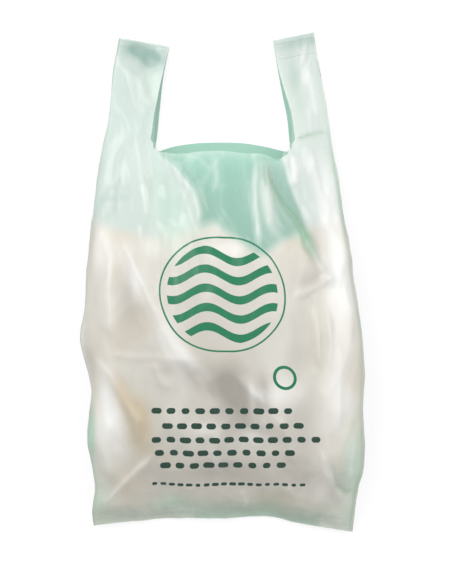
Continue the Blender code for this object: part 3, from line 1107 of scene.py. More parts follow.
class Group:
    """A node group as it is built, with its inputs by name."""

    def __init__(self, name: str, kind: str, inputs: dict[str, str], outputs: dict[str, str]) -> None:
        """Make the empty group.

        Args:
            name: The group's name.
            kind: The tree's type.
            inputs: Socket type of each input, by name.
            outputs: Socket type of each output, by name.
        """
        self.tree = bpy.data.node_groups.new(name, kind)
        for way, sockets in (("INPUT", inputs), ("OUTPUT", outputs)):
            for label, socket in sockets.items():
                self.tree.interface.new_socket(name=label, in_out=way, socket_type=f"NodeSocket{socket}")
        self.wiring = Wiring(self.tree)
        start = self.wiring.node("NodeGroupInput")
        self.given = {label: Term(self.wiring, start.outputs[label]) for label in inputs}
        self.end = self.wiring.node("NodeGroupOutput")

    def give(self, **results: Term) -> bpy.types.NodeTree:
        """Wire the group's outputs and give its tree back."""
        for label, value in results.items():
            self.wiring.put(self.end.inputs[label], value)
        return self.tree

    def give_dressed(self, geometry: Term) -> bpy.types.NodeTree:
        """End a Geometry Nodes tree with plain geometry in the tree's material.

        Args:
            geometry: What the tree has made.

        Returns:
            The finished tree.
        """
        whole = self.wiring.get("GeometryNodeRealizeInstances", {"Geometry": geometry})
        inputs = {"Geometry": whole, "Material": self.given["Material"]}
        return self.give(Geometry=self.wiring.get("GeometryNodeSetMaterial", inputs))


def geometry_group(name: str, floats: Iterable[str]) -> Group:
    """Make an empty Geometry Nodes group with named numbers and a material as its inputs."""
    inputs = {"Geometry": "Geometry", **dict.fromkeys(floats, "Float"), "Material": "Material"}
    return Group(name, "GeometryNodeTree", inputs, {"Geometry": "Geometry"})


def applied(source: bpy.types.Object, tree: bpy.types.NodeTree, settings: dict[str, object]) -> None:
    """Run a Geometry Nodes tree on an object and keep the result as its plain mesh.

    Args:
        source: The object that is worked on. It keeps no modifier.
        tree: The tree.
        settings: Values of the tree's named inputs.
    """
    modifier = source.modifiers.new(tree.name, "NODES")
    modifier.node_group = tree
    identifiers = {item.name: item.identifier for item in tree.interface.items_tree if item.in_out == "INPUT"}
    for name, value in settings.items():
        modifier[identifiers[name]] = value
    source.update_tag()
    graph = bpy.context.evaluated_depsgraph_get()
    graph.update()
    mesh = bpy.data.meshes.new_from_object(source.evaluated_get(graph), depsgraph=graph)
    source.modifiers.remove(modifier)
    old = source.data
    source.data = mesh
    bpy.data.meshes.remove(old)
    mesh.name = source.name


def new_material(name: str) -> tuple[bpy.types.Material, Wiring]:
    """Make a material without nodes, with the wiring of its tree.

    Args:
        name: The material's name.

    Returns:
        The material and its wiring.
    """
    material = bpy.data.materials.new(name)
    material.use_nodes = True
    material.node_tree.nodes.clear()
    return material, Wiring(material.node_tree)


@dataclass(frozen=True)
class Crumple:
    """The film's small facets and creases, as a Geometry Nodes tree."""

    facet_size: float = 0.042
    facet_height: float = 0.0052
    crease_size: float = 0.014
    crease_height: float = 0.0010
    warp: float = 0.012
    warp_scale: float = 18.0
    warp_detail: float = 1.0
    stretch: Place = (1.25, 0.62, 1.0)
    seed: float = 7.0

    def tree(self) -> bpy.types.NodeTree:
        """Build the tree that moves each point along its normal, within its room.

        Returns:
            The Geometry Nodes tree.
        """
        floats = ("Facet size", "Facet height", "Crease size", "Crease height", "Warp", "Seed")
        group = geometry_group("film_crumple", floats)
        wiring, given = group.wiring, group.given
        place = wiring.get("GeometryNodeInputPosition")
        place = wiring.vector("ADD", place, wiring.get("ShaderNodeCombineXYZ", {"Z": given["Seed"]}))
        place = wiring.swirled(place, self.warp_scale, self.warp_detail, given["Warp"])
        place = wiring.vector("MULTIPLY", place, self.stretch)
        lift: Value = 0.0
        for size, height in (("Facet size", "Facet height"), ("Crease size", "Crease height")):
            cells = wiring.cells(place, wiring.math("DIVIDE", 1.0, given[size]))
            lift = (cells - 0.5) * given[height] + lift
        room = wiring.get("GeometryNodeInputNamedAttribute", {"Name": "room"}, "Attribute", data_type="FLOAT")
        lift = lift.least(room).most(room * -1.0)
        normal = wiring.get("GeometryNodeInputNormal")
        offset = wiring.get("ShaderNodeVectorMath", {0: normal, "Scale": lift}, operation="SCALE")
        moved = {"Geometry": given["Geometry"], "Offset": offset}
        return group.give_dressed(wiring.get("GeometryNodeSetPosition", moved))

    def apply(self, film: bpy.types.Object, material: bpy.types.Material) -> None:
        """Crumple the film and give it its material."""
        applied(film, self.tree(), {
            "Facet size": self.facet_size,
            "Facet height": self.facet_height,
            "Crease size": self.crease_size,
            "Crease height": self.crease_height,
            "Warp": self.warp,
            "Seed": self.seed,
            "Material": material,
        })


@dataclass(frozen=True)
class SealLines:
    """Raised lines that the sealing bars leave in the film, swept along routes on it."""

    radius: float = 0.00026
    step: float = 0.004
    sides: int = 6
    milkiness: float = 0.55
    name: str = "seal_lines"

    def tree(self) -> bpy.types.NodeTree:
        """Build the tree that sweeps a round bead along each route.

        Returns:
            The Geometry Nodes tree.
        """
        group = geometry_group(self.name, ("Radius", "Step"))
        wiring, given = group.wiring, group.given
        routes = wiring.get("GeometryNodeMeshToCurve", {"Mesh": given["Geometry"]})
        even = {"Curve": routes, "Length": given["Step"]}
        routes = wiring.get("GeometryNodeResampleCurve", even, mode="LENGTH")
        ring = {"Resolution": self.sides, "Radius": given["Radius"]}
        ring = wiring.get("GeometryNodeCurvePrimitiveCircle", ring)
        beads = {"Curve": routes, "Profile Curve": ring, "Fill Caps": True}
        return group.give_dressed(wiring.get("GeometryNodeCurveToMesh", beads))

    def build(self, routes: Iterable[np.ndarray], material: bpy.types.Material) -> bpy.types.Object:
        """Sweep a bead along each route.

        Args:
            routes: Points of each route, one row a point.
            material: The film's material.

        Returns:
            The beads' object.
        """
        places: list[Sequence[float]] = []
        edges: list[tuple[int, int]] = []
        for route in routes:
            first = len(places)
            places += route.tolist()
            edges += [(number, number + 1) for number in range(first, len(places) - 1)]
        mesh = bpy.data.meshes.new(self.name)
        mesh.from_pydata(places, edges, [])
        lines = placed(self.name, mesh)
        applied(lines, self.tree(), {"Radius": self.radius, "Step": self.step, "Material": material})
        lines.data.shade_smooth()
        for name, share in (("front", 1.0), ("full", self.milkiness)):
            store(lines.data, name, np.full(len(lines.data.vertices), share))
        return lines


PRINT_GREEN: Colour = (0.004, 0.19, 0.085, 1.0)
PRINT_DARK: Colour = (0.012, 0.055, 0.035, 1.0)


@dataclass(frozen=True)
class DashRow:
    """A row of short rounded bars, printed where a bag carries its small print."""

    left: float
    right: float
    level: float
    height: float = 0.0068
    cell: float = 0.0165


@dataclass(frozen=True)
class PlainPrint:
    """The generic print on the front: waves in a round outline, rows of rounded bars and a small ring."""

    block_middle: tuple[float, float] = (0.0018, 0.280)
    block_half: tuple[float, float] = (0.0705, 0.064)
    block_corner: float = 0.0635
    line_width: float = 0.0020
    wave_margin: float = 0.008
    waves: int = 5
    wave_pitch: float = 0.0215
    wave_length: float = 0.075
    wave_height: float = 0.007
    wave_cut: float = 0.20
    ring_middle: tuple[float, float] = (0.066, 0.186)
    ring_radius: float = 0.012
    ring_width: float = 0.0035
    bar_least: float = 0.52
    bar_spread: float = 0.30
    row_key: float = 1000.0
    dashes: Sequence[DashRow] = (
        DashRow(-0.086, 0.087, 0.1481),
        DashRow(-0.087, 0.089, 0.1308),
        DashRow(-0.102, 0.110, 0.1146),
        DashRow(-0.084, 0.085, 0.0994),
        DashRow(-0.081, 0.083, 0.0847),
        DashRow(-0.095, 0.097, 0.0611, 0.0038, 0.0100),
    )

    def shapes(self) -> bpy.types.NodeTree:
        """Build the group that gives the mask of the large shapes.

        Returns:
            The group, with the place on the film as its input.
        """
        group = Group("print_shapes", "ShaderNodeTree", {"Film": "Vector"}, {"Mask": "Float"})
        wiring = group.wiring
        x, y = wiring.flat(group.given["Film"])
        across, along = x - self.block_middle[0], y - self.block_middle[1]
        corner = wiring.length(*(
            (abs(value) - (half - self.block_corner)).most(0.0)
            for value, half in zip((across, along), self.block_half)
        ))
        outline = abs(corner - self.block_corner) < self.line_width / 2
        wave = wiring.math("SINE", across * (2 * math.pi / self.wave_length))
        level = wave * self.wave_height + along
        band = wiring.math("COSINE", level * (2 * math.pi / self.wave_pitch)) > self.wave_cut
        inside = corner < self.block_corner - self.wave_margin
        waves = inside * band * (abs(level) < self.waves / 2 * self.wave_pitch)
        off_ring = wiring.length(x - self.ring_middle[0], y - self.ring_middle[1]) - self.ring_radius
        return group.give(Mask=waves.most(outline).most(abs(off_ring) < self.ring_width / 2))

    def bars(self) -> bpy.types.NodeTree:
        """Build the group that gives the mask of a row of rounded bars.

        Returns:
            The group, with the place on the film and the row's sizes as its inputs.
        """
        names = ("Left", "Right", "Level", "Height", "Cell")
        inputs = {"Film": "Vector", **dict.fromkeys(names, "Float")}
        group = Group("print_bars", "ShaderNodeTree", inputs, {"Mask": "Float"})
        wiring = group.wiring
        left, right, level, height, pitch = (group.given[name] for name in names)
        x, y = wiring.flat(group.given["Film"])
        row = wiring.math("FLOOR", level * self.row_key)
        hop = wiring.get("ShaderNodeTexWhiteNoise", {"W": row}, "Value", noise_dimensions="1D")
        run = wiring.math("DIVIDE", x - left, pitch) + hop
        cell = wiring.math("FLOOR", run)
        key = wiring.get("ShaderNodeCombineXYZ", {"X": row, "Y": cell})
        chance = wiring.get("ShaderNodeTexWhiteNoise", {"Vector": key}, "Value", noise_dimensions="2D")
        half = (chance * self.bar_spread + self.bar_least) * pitch * 0.5
        radius = height * 0.5
        end_gap = (abs((run - cell - 0.5) * pitch) - (half - radius)).most(0.0)
        bar = wiring.length(end_gap, y - level) < radius
        middle = (cell + 0.5 - hop) * pitch + left
        return group.give(Mask=bar * (middle - half > left) * (middle + half < right))

    def masks(self, wiring: Wiring, film: Term) -> tuple[Term, Term]:
        """Wire the print's masks into a material.

        Args:
            wiring: The material's wiring.
            film: The place on the film.

        Returns:
            The mask of the large shapes and the mask of the bars.
        """
        shapes = wiring.get("ShaderNodeGroup", {"Film": film}, node_tree=self.shapes())
        tree = self.bars()
        bars: Value = 0.0
        for row in self.dashes:
            inputs = {"Film": film} | {name.capitalize(): value for name, value in asdict(row).items()}
            bars = wiring.get("ShaderNodeGroup", inputs, node_tree=tree).most(bars)
        return shapes, bars


@dataclass(frozen=True)
class Crinkles:
    """The film's fine crinkles as a shader group. A noise is its scale, detail and roughness."""

    swirl_scale: float = 60.0
    swirl_detail: float = 2.0
    swirl: Place = (0.008, 0.008, 0.008)
    stretch: Place = (1.0, 0.55, 1.0)
    crease_scale: float = 120.0
    crease_share: float = 0.5
    ripple_noise: Noise = (90.0, 3.0, 0.6)
    ripple_share: float = 0.6

    def tree(self) -> bpy.types.NodeTree:
        """Build the group that gives the crinkles' height, from 0 to 1.

        Returns:
            The group, with a place in metres as its input.
        """
        group = Group("film_crinkles", "ShaderNodeTree", {"Place": "Vector"}, {"Height": "Float"})
        wiring = group.wiring
        place = wiring.swirled(group.given["Place"], self.swirl_scale, self.swirl_detail, self.swirl)
        place = wiring.vector("MULTIPLY", place, self.stretch)
        ripples = wiring.noise(place, *self.ripple_noise) * self.ripple_share
        return group.give(Height=wiring.cells(place, self.crease_scale) * self.crease_share + ripples)


@dataclass(frozen=True)
class Cloudiness:
    """The film's cloudy patches, thin streaks and warm places. A noise is its scale, detail and roughness."""

    swirl_scale: float = 9.0
    swirl_detail: float = 1.0
    swirl: Place = (0.08, 0.08, 0.0)
    cloud_stretch: Place = (1.0, 0.45, 1.0)
    cloud_noise: Noise = (20.0, 2.0, 0.45)
    cloud_limits: Range = (0.33, 0.67)
    streak_stretch: Place = (1.0, 0.16, 1.0)
    streak_noise: Noise = (70.0, 1.0, 0.4)
    streak_limits: Range = (0.52, 0.68)
    warmth_shift: Place = (3.7, 1.9, 0.0)
    warmth_noise: Noise = (11.0, 2.0, 0.5)
    warmth_limits: Range = (0.52, 0.66)

    def tree(self) -> bpy.types.NodeTree:
        """Build the group that gives the cloudiness, the streaks and the warmth, each from 0 to 1.

        Returns:
            The group, with a place in metres as its input.
        """
        outputs = dict.fromkeys(("Cloud", "Streak", "Warmth"), "Float")
        group = Group("film_patches", "ShaderNodeTree", {"Place": "Vector"}, outputs)
        wiring, start = group.wiring, group.given["Place"]
        place = wiring.swirled(start, self.swirl_scale, self.swirl_detail, self.swirl)
        cloud = wiring.noise(wiring.vector("MULTIPLY", place, self.cloud_stretch), *self.cloud_noise)
        streak = wiring.noise(wiring.vector("MULTIPLY", place, self.streak_stretch), *self.streak_noise)
        warmth = wiring.noise(wiring.vector("ADD", start, self.warmth_shift), *self.warmth_noise)
        return group.give(
            Cloud=wiring.step(cloud, *self.cloud_limits),
            Streak=wiring.step(streak, *self.streak_limits),
            Warmth=wiring.step(warmth, *self.warmth_limits),
        )


@dataclass(frozen=True)
class FilmFinish:
    """The finish of thin, see-through film, by ply and by place, with painted shade and painted highlights.
    """

    veil: Colour = (0.47, 0.79, 0.67, 1.0)
    haze: Colour = (0.86, 0.90, 0.87, 1.0)
    inside: Colour = (0.27, 0.60, 0.45, 1.0)
    tuck: Colour = (0.80, 0.88, 0.84, 1.0)
    # Painted shade laid along creases and, fainter, along the outer folds.
    crease_shade: Colour = (0.21, 0.40, 0.25, 1.0)
    # Painted highlight: white laid on lit folds and facets and along gleams; the streaks are whitened with it
    # too.
    white: Colour = (0.93, 0.93, 0.90, 1.0)
    milk: Colour = (0.77, 0.74, 0.67, 1.0)
    # Painted shade: the grey laid on the milky film in dark patches and in the cloud noise's mottling.
    shade: Colour = (0.385, 0.355, 0.315, 1.0)
    # Painted shade on the clear film, where shade patches fall on it.
    cool: Colour = (0.28, 0.42, 0.37, 1.0)
    warm: Colour = (0.64, 0.53, 0.37, 1.0)
    mint: Colour = (0.46, 0.66, 0.53, 1.0)
    weld: Colour = (0.60, 0.62, 0.46, 1.0)
    cloud_share: float = 0.26
    warmth_share: float = 0.30
    weld_share: float = 0.60
    clear_tone_share: float = 0.80
    streak_share: float = 0.16
    # Shares of painted shade along the outer folds and along the creases.
    rim_share: float = 0.36
    pleat_share: float = 0.80
    # Share of painted highlight along the folds' gleams.
    gleam_share: float = 0.75
    tone_peak: float = 1.2
    tone_break: float = 0.45
    ink_behind: float = 0.5
    veil_alpha: float = 0.32
    haze_alpha: float = 0.66
    milk_alpha: float = 0.86
    inside_alpha: float = 0.84
    outside_alpha: float = 0.60
    tuck_alpha: float = 0.20
    streak_alpha: float = 0.10
    tone_alpha: float = 0.40
    mint_alpha: float = 0.80
    rim_alpha: float = 0.25
    ink_alpha: float = 0.96
    most_alpha: float = 0.97
    roughness: float = 0.37
    cloud_roughness: float = 0.08
    streak_coat: float = 0.25
    coat_roughness: float = 0.2
    crinkle: float = 0.0005
    crinkle_strength: float = 0.9
    refraction: float = 1.5

    def build(self, artwork: PlainPrint) -> bpy.types.Material:
        """Build the film's material.

        Args:
            artwork: The print on the front.

        Returns:
            The material.
        """
        material, wiring = new_material("film")
        film = wiring.get("ShaderNodeUVMap", uv_map="film")
        place = wiring.get("ShaderNodeTexCoord", output="Object")
        names = ("front", "tuck", "rim", "full", "haze", "weld", "crease_shade", "gleam")
        names += tuple(tone.value for tone in Tone)
        given = {name: wiring.get("ShaderNodeAttribute", output="Fac", attribute_name=name) for name in names}
        patches = wiring.node("ShaderNodeGroup", {0: place}, node_tree=Cloudiness().tree())
        cloud, streak, warmth = (Term(wiring, output) for output in patches.outputs)
        crinkles = wiring.get("ShaderNodeGroup", {0: place}, node_tree=Crinkles().tree())
        turned = wiring.get("ShaderNodeNewGeometry", output="Backfacing")
        shapes, bars = artwork.masks(wiring, film)
        broken = cloud * -self.tone_break + self.tone_peak
        tones = {tone: given[tone.value] * broken for tone in Tone}

        # The milky film: the cloud noise and the shade patches mix in painted shade, the white patches
        # painted highlights.
        milky = wiring.layers(self.milk, (
            (cloud * self.cloud_share, self.shade),
            (warmth * self.warmth_share, self.warm),
            (tones[Tone.PAINTED_SHADE], self.shade),
            (tones[Tone.WARM], self.warm),
            (given["weld"] * self.weld_share, self.weld),
            (tones[Tone.MINT], self.mint),
            (tones[Tone.WHITE], self.white),
        ))
        # The clear film: the shade patches mix in painted shade, the white patches painted highlights.
        clear = wiring.layers(self.veil, (
            (given["haze"], self.haze),
            (tones[Tone.MINT] * self.clear_tone_share, self.mint),
            (tones[Tone.PAINTED_SHADE], self.cool),
            (tones[Tone.WHITE] * self.clear_tone_share, self.white),
            (streak * self.streak_share, self.white),
        ))
        outer = wiring.layers(clear, (
            (given["full"], milky),
            # Painted shade along the outer folds and the creases.
            (given["rim"] * self.rim_share, self.crease_shade),
            (given["crease_shade"] * self.pleat_share, self.crease_shade),
            # Painted highlight along the folds' gleams.
            (given["gleam"] * self.gleam_share, self.white),
        ))
        ink = given["front"] * (turned * -self.ink_behind + 1.0)
        colour = wiring.layers(self.veil, (
            (given["full"], self.milk),
            (turned, self.inside),
            (given["tuck"], self.tuck),
            (given["front"], outer),
            (shapes * ink, PRINT_GREEN),
            (bars * ink, PRINT_DARK),
        ))

        alpha = wiring.step(given["haze"], 0.0, 1.0, self.veil_alpha, self.haze_alpha)
        alpha = alpha + streak * self.streak_alpha
        alpha = alpha + (self.milk_alpha - alpha) * given["full"]
        # The film grows more opaque where painted shade, painted highlights, painted crease shade or mint
        # show.
        raised = given["mint"] * self.mint_alpha
        for name in ("crease_shade", "gleam", "shade", "white"):
            raised = raised.most(given[name])
        alpha = alpha + raised * self.tone_alpha + given["rim"] * self.rim_alpha
        rear = wiring.step(turned, 0.0, 1.0, self.outside_alpha, self.inside_alpha)
        rear = rear + (self.tuck_alpha - rear) * given["tuck"]
        alpha = rear + (alpha - rear) * given["front"]
        inked = shapes.most(bars) * given["front"]
        alpha = alpha.most(inked * self.ink_alpha).least(self.most_alpha)

        bump = {"Height": crinkles, "Strength": self.crinkle_strength, "Distance": self.crinkle}
        shader = wiring.get("ShaderNodeBsdfPrincipled", {
            "Base Color": colour,
            "Alpha": alpha,
            "Roughness": cloud * self.cloud_roughness + self.roughness,
            "Normal": wiring.get("ShaderNodeBump", bump),
            "IOR": self.refraction,
            "Coat Weight": streak * self.streak_coat,
            "Coat Roughness": self.coat_roughness,
        })
        wiring.node("ShaderNodeOutputMaterial", {"Surface": shader})
        return material


@dataclass(frozen=True)
class Studio:
    """The pale floor, the soft light and the camera."""

    floor_size: float = 6.0
    floor_glow: float = 0.80
    floor_colour: Colour = (0.25, 0.25, 0.25, 1.0)
    floor_roughness: float = 0.9
    pure_white: Colour = (1.0, 1.0, 1.0, 1.0)
    world: float = 0.60
    key_power: float = 29.0
    key_place: Place = (-1.1, 1.2, 1.7)
    key_size: float = 1.7
    fill_power: float = 12.0
    fill_place: Place = (1.5, 0.3, 1.4)
    fill_size: float = 1.2
    lens: float = 100.0
    sensor: float = 36.0
    eye: Place = (0.0015, -0.0014, 1.854)

    def camera(self) -> None:
        """Place the camera, which looks straight down on the front panel."""
        data = bpy.data.cameras.new("camera")
        data.lens = self.lens
        data.sensor_width = self.sensor
        data.sensor_fit = "AUTO"
        camera = placed("camera", data)
        camera.location = self.eye
        bpy.context.scene.camera = camera

    def lamp(self, name: str, place: Sequence[float], power: float, size: float) -> None:
        """Place one soft lamp that faces the object.

        Args:
            name: The lamp's name.
            place: Where it stands.
            power: Its power in watts.
            size: The side of its square.
        """
        data = bpy.data.lights.new(name, "AREA")
        data.energy = power
        data.shape = "SQUARE"
        data.size = size
        lamp = placed(name, data)
        lamp.location = place
        lamp.rotation_euler = (-Vector(place)).to_track_quat("-Z", "Y").to_euler()

    def sky(self) -> None:
        """Give the world its even pale light, white where the camera sees it."""
        world = bpy.data.worlds.new("studio")
        bpy.context.scene.world = world
        world.use_nodes = True
        world.node_tree.nodes.clear()
        wiring = Wiring(world.node_tree)
        seen = wiring.get("ShaderNodeLightPath", output="Is Camera Ray")
        strength = seen * (1.0 - self.world) + self.world
        light = wiring.get("ShaderNodeBackground", {"Color": self.pure_white, "Strength": strength})
        wiring.node("ShaderNodeOutputWorld", {"Surface": light})

    def floor(self) -> bpy.types.Object:
        """Lay the floor, near white to the camera, with the object's soft shadow.

        Returns:
            The floor's object.
        """
        half = self.floor_size / 2
        corners = [(-half, -half, 0.0), (half, -half, 0.0), (half, half, 0.0), (-half, half, 0.0)]
        mesh = bpy.data.meshes.new("floor")
        mesh.from_pydata(corners, [], [(0, 1, 2, 3)])
        material, wiring = new_material("floor")
        path = wiring.node("ShaderNodeLightPath").outputs
        kinds = ("Is Camera Ray", "Is Glossy Ray", "Is Transmission Ray")
        camera, glossy, through_film = (Term(wiring, path[kind]) for kind in kinds)
        shader = wiring.get("ShaderNodeBsdfPrincipled", {
            "Base Color": self.floor_colour,
            "Roughness": self.floor_roughness,
            "Specular IOR Level": 0.0,
            "Emission Color": self.pure_white,
            "Emission Strength": camera.most(glossy).most(through_film) * self.floor_glow,
        })
        wiring.node("ShaderNodeOutputMaterial", {"Surface": shader})
        mesh.materials.append(material)
        return placed("floor", mesh)

    def build(self) -> bpy.types.Object:
        """Set up the whole studio and give its floor back."""
        self.camera()
        self.sky()
        self.lamp("key", self.key_place, self.key_power, self.key_size)
        self.lamp("fill", self.fill_place, self.fill_power, self.fill_size)
        bpy.context.scene.view_settings.view_transform = "Standard"
        return self.floor()


# The front panel's folds: route, height and reach in metres, with how they show: painted crease shade and
# painted highlight.
FOLDS: Sequence[FoldLine] = (
    FoldLine(((-0.074, 0.446), (-0.062, 0.431), (-0.047, 0.414), (-0.034, 0.396), (-0.028, 0.376),
              (-0.026, 0.345)), 0.007, 0.0055, gleam=0.7),
    FoldLine(((0.036, 0.447), (0.037, 0.38), (0.042, 0.322)), 0.0055, 0.0035, 1.4, gleam=1.0),
    FoldLine(((0.048, 0.442), (0.051, 0.39), (0.055, 0.345)), 0.0035, 0.0035, 1.2, gleam=0.6),
    FoldLine(((0.022, 0.444), (0.027, 0.4), (0.029, 0.36)), 0.0022, 0.004, gleam=0.2),
    FoldLine(((0.044, 0.45), (0.05, 0.415), (0.065, 0.387), (0.081, 0.3685), (0.0913, 0.3475), (0.1, 0.325),
              (0.108, 0.305)), 0.005, 0.0046, 1.4, crease_shade=1.0),
    FoldLine(((0.078, 0.446), (0.082, 0.425), (0.08, 0.4)), 0.004, 0.006, gleam=0.8),
    FoldLine(((-0.01, 0.442), (-0.008, 0.415), (-0.012, 0.392)), 0.003, 0.0032, 1.2, gleam=0.6),
    FoldLine(((-0.048, 0.443), (-0.028, 0.436), (-0.01, 0.418)), 0.0024, 0.004, gleam=0.35),
    FoldLine(((-0.146, 0.386), (-0.13, 0.39), (-0.11, 0.391)), 0.004, 0.0034, 1.3, crease_shade=0.3),
    FoldLine(((-0.14, 0.395), (-0.126, 0.403), (-0.11, 0.4)), 0.003, 0.004, 1.2),
    FoldLine(((-0.104, 0.47), (-0.096, 0.43), (-0.088, 0.37)), 0.004, 0.007, gleam=0.3),
    FoldLine(((0.098, 0.456), (0.108, 0.41), (0.121, 0.35)), 0.004, 0.007, gleam=0.4),
    FoldLine(((0.08, 0.459), (0.1, 0.4655), (0.122, 0.4685)), 0.0028, 0.0024, 1.4, crease_shade=0.9),
    FoldLine(((-0.104, 0.54), (-0.092, 0.51), (-0.08, 0.492)), 0.0016, 0.0035, gleam=0.4),
    FoldLine(((0.098, 0.548), (0.104, 0.51), (0.108, 0.482)), 0.0016, 0.0035, gleam=0.4),
    FoldLine(((-0.122, 0.352), (-0.103, 0.316), (-0.075, 0.258), (-0.046, 0.196)),
              0.005, 0.006, 1.1, gleam=0.25),
    FoldLine(((-0.126, 0.33), (-0.132, 0.28), (-0.126, 0.225)), 0.004, 0.008, gleam=0.3),
    FoldLine(((-0.152, 0.214), (-0.1275, 0.188), (-0.1116, 0.1575), (-0.098, 0.137), (-0.096, 0.108)),
              0.0062, 0.0065, 1.2, gleam=0.12),
    FoldLine(((-0.08, 0.207), (-0.072, 0.184), (-0.058, 0.17)), 0.0026, 0.005, 1.2, gleam=0.1),
    FoldLine(((0.056, 0.146), (0.074, 0.118), (0.08, 0.084)), 0.003, 0.006, 1.5, gleam=0.15),
    FoldLine(((-0.006, 0.128), (-0.012, 0.1), (-0.006, 0.066)), 0.0026, 0.0055, 1.5, gleam=0.2),
    FoldLine(((-0.152, 0.214), (-0.11, 0.209), (-0.066, 0.208), (-0.014, 0.204)), 0.0018, 0.0026, 1.3),
    FoldLine(((-0.08, 0.102), (-0.088, 0.089), (-0.115, 0.063), (-0.133, 0.042), (-0.147, 0.033)),
              0.005, 0.003, 1.0, gleam=0.55),
    FoldLine(((-0.132, 0.15), (-0.138, 0.105), (-0.132, 0.06)), 0.0035, 0.009, gleam=0.25),
    FoldLine(((0.088, 0.35), (0.109, 0.312), (0.134, 0.28)), 0.0045, 0.0055, 1.2, gleam=0.3),
    FoldLine(((0.076, 0.273), (0.0887, 0.28), (0.118, 0.298), (0.148, 0.315)), 0.0038, 0.0055, gleam=0.2),
    FoldLine(((0.134, 0.36), (0.141, 0.3), (0.146, 0.24)), 0.0035, 0.006, gleam=0.5),
    FoldLine(((0.101, 0.276), (0.106, 0.232), (0.11, 0.192)), 0.0032, 0.003, 1.2, gleam=0.3),
    FoldLine(((0.116, 0.27), (0.121, 0.222), (0.117, 0.172)), 0.003, 0.0035, 1.2, gleam=0.2),
    FoldLine(((0.128, 0.236), (0.133, 0.18), (0.13, 0.12)), 0.0035, 0.006, gleam=0.45),
    FoldLine(((-0.036, 0.2), (-0.02, 0.178), (-0.006, 0.152)), -0.004, 0.006, 1.2),
    FoldLine(((0.014, 0.192), (0.03, 0.17), (0.056, 0.15)), 0.0042, 0.006, 1.5, gleam=0.2),
    FoldLine(((0.038, 0.18), (0.046, 0.15), (0.048, 0.118)), 0.0032, 0.0055, 1.5, gleam=0.3),
    FoldLine(((0.108, 0.112), (0.118, 0.076), (0.128, 0.055), (0.144, 0.032)),
              0.0045, 0.0045, 1.1, gleam=0.35),
    FoldLine(((0.122, 0.09), (0.129, 0.06), (0.141, 0.05), (0.151, 0.056)), -0.0035, 0.0036, crease_shade=0.5),
    FoldLine(((0.152, 0.12), (0.146, 0.085), (0.147, 0.056)), 0.003, 0.0035, 1.2, gleam=0.4),
    FoldLine(((0.02, 0.056), (0.026, 0.04), (0.022, 0.026)), 0.002, 0.003, 1.2, gleam=0.3),
    FoldLine(((-0.036, 0.066), (-0.044, 0.042), (-0.04, 0.024)), 0.002, 0.005),
    FoldLine(((0.07, 0.062), (0.08, 0.044), (0.078, 0.022)), 0.0022, 0.005),
)
# Y of the milky zone's upper edge by x, then x of the two hazy zones' edges by y.
MILK_EDGE: Knots = (
    (-0.165, 0.372), (-0.132, 0.358), (-0.093, 0.349), (-0.059, 0.349), (-0.029, 0.357), (-0.008, 0.362),
    (0.003, 0.353), (0.017, 0.343), (0.044, 0.327), (0.064, 0.34), (0.087, 0.352), (0.165, 0.372),
)
LEFT_HAZE: Knots = (
    (0.3, -0.034), (0.35, -0.028), (0.378, -0.029), (0.398, -0.036), (0.416, -0.05), (0.431, -0.063),
    (0.446, -0.073), (0.46, -0.06),
)
RIGHT_HAZE: Knots = (
    (0.3, 0.112), (0.33, 0.098), (0.37, 0.088), (0.41, 0.074), (0.45, 0.064),
)
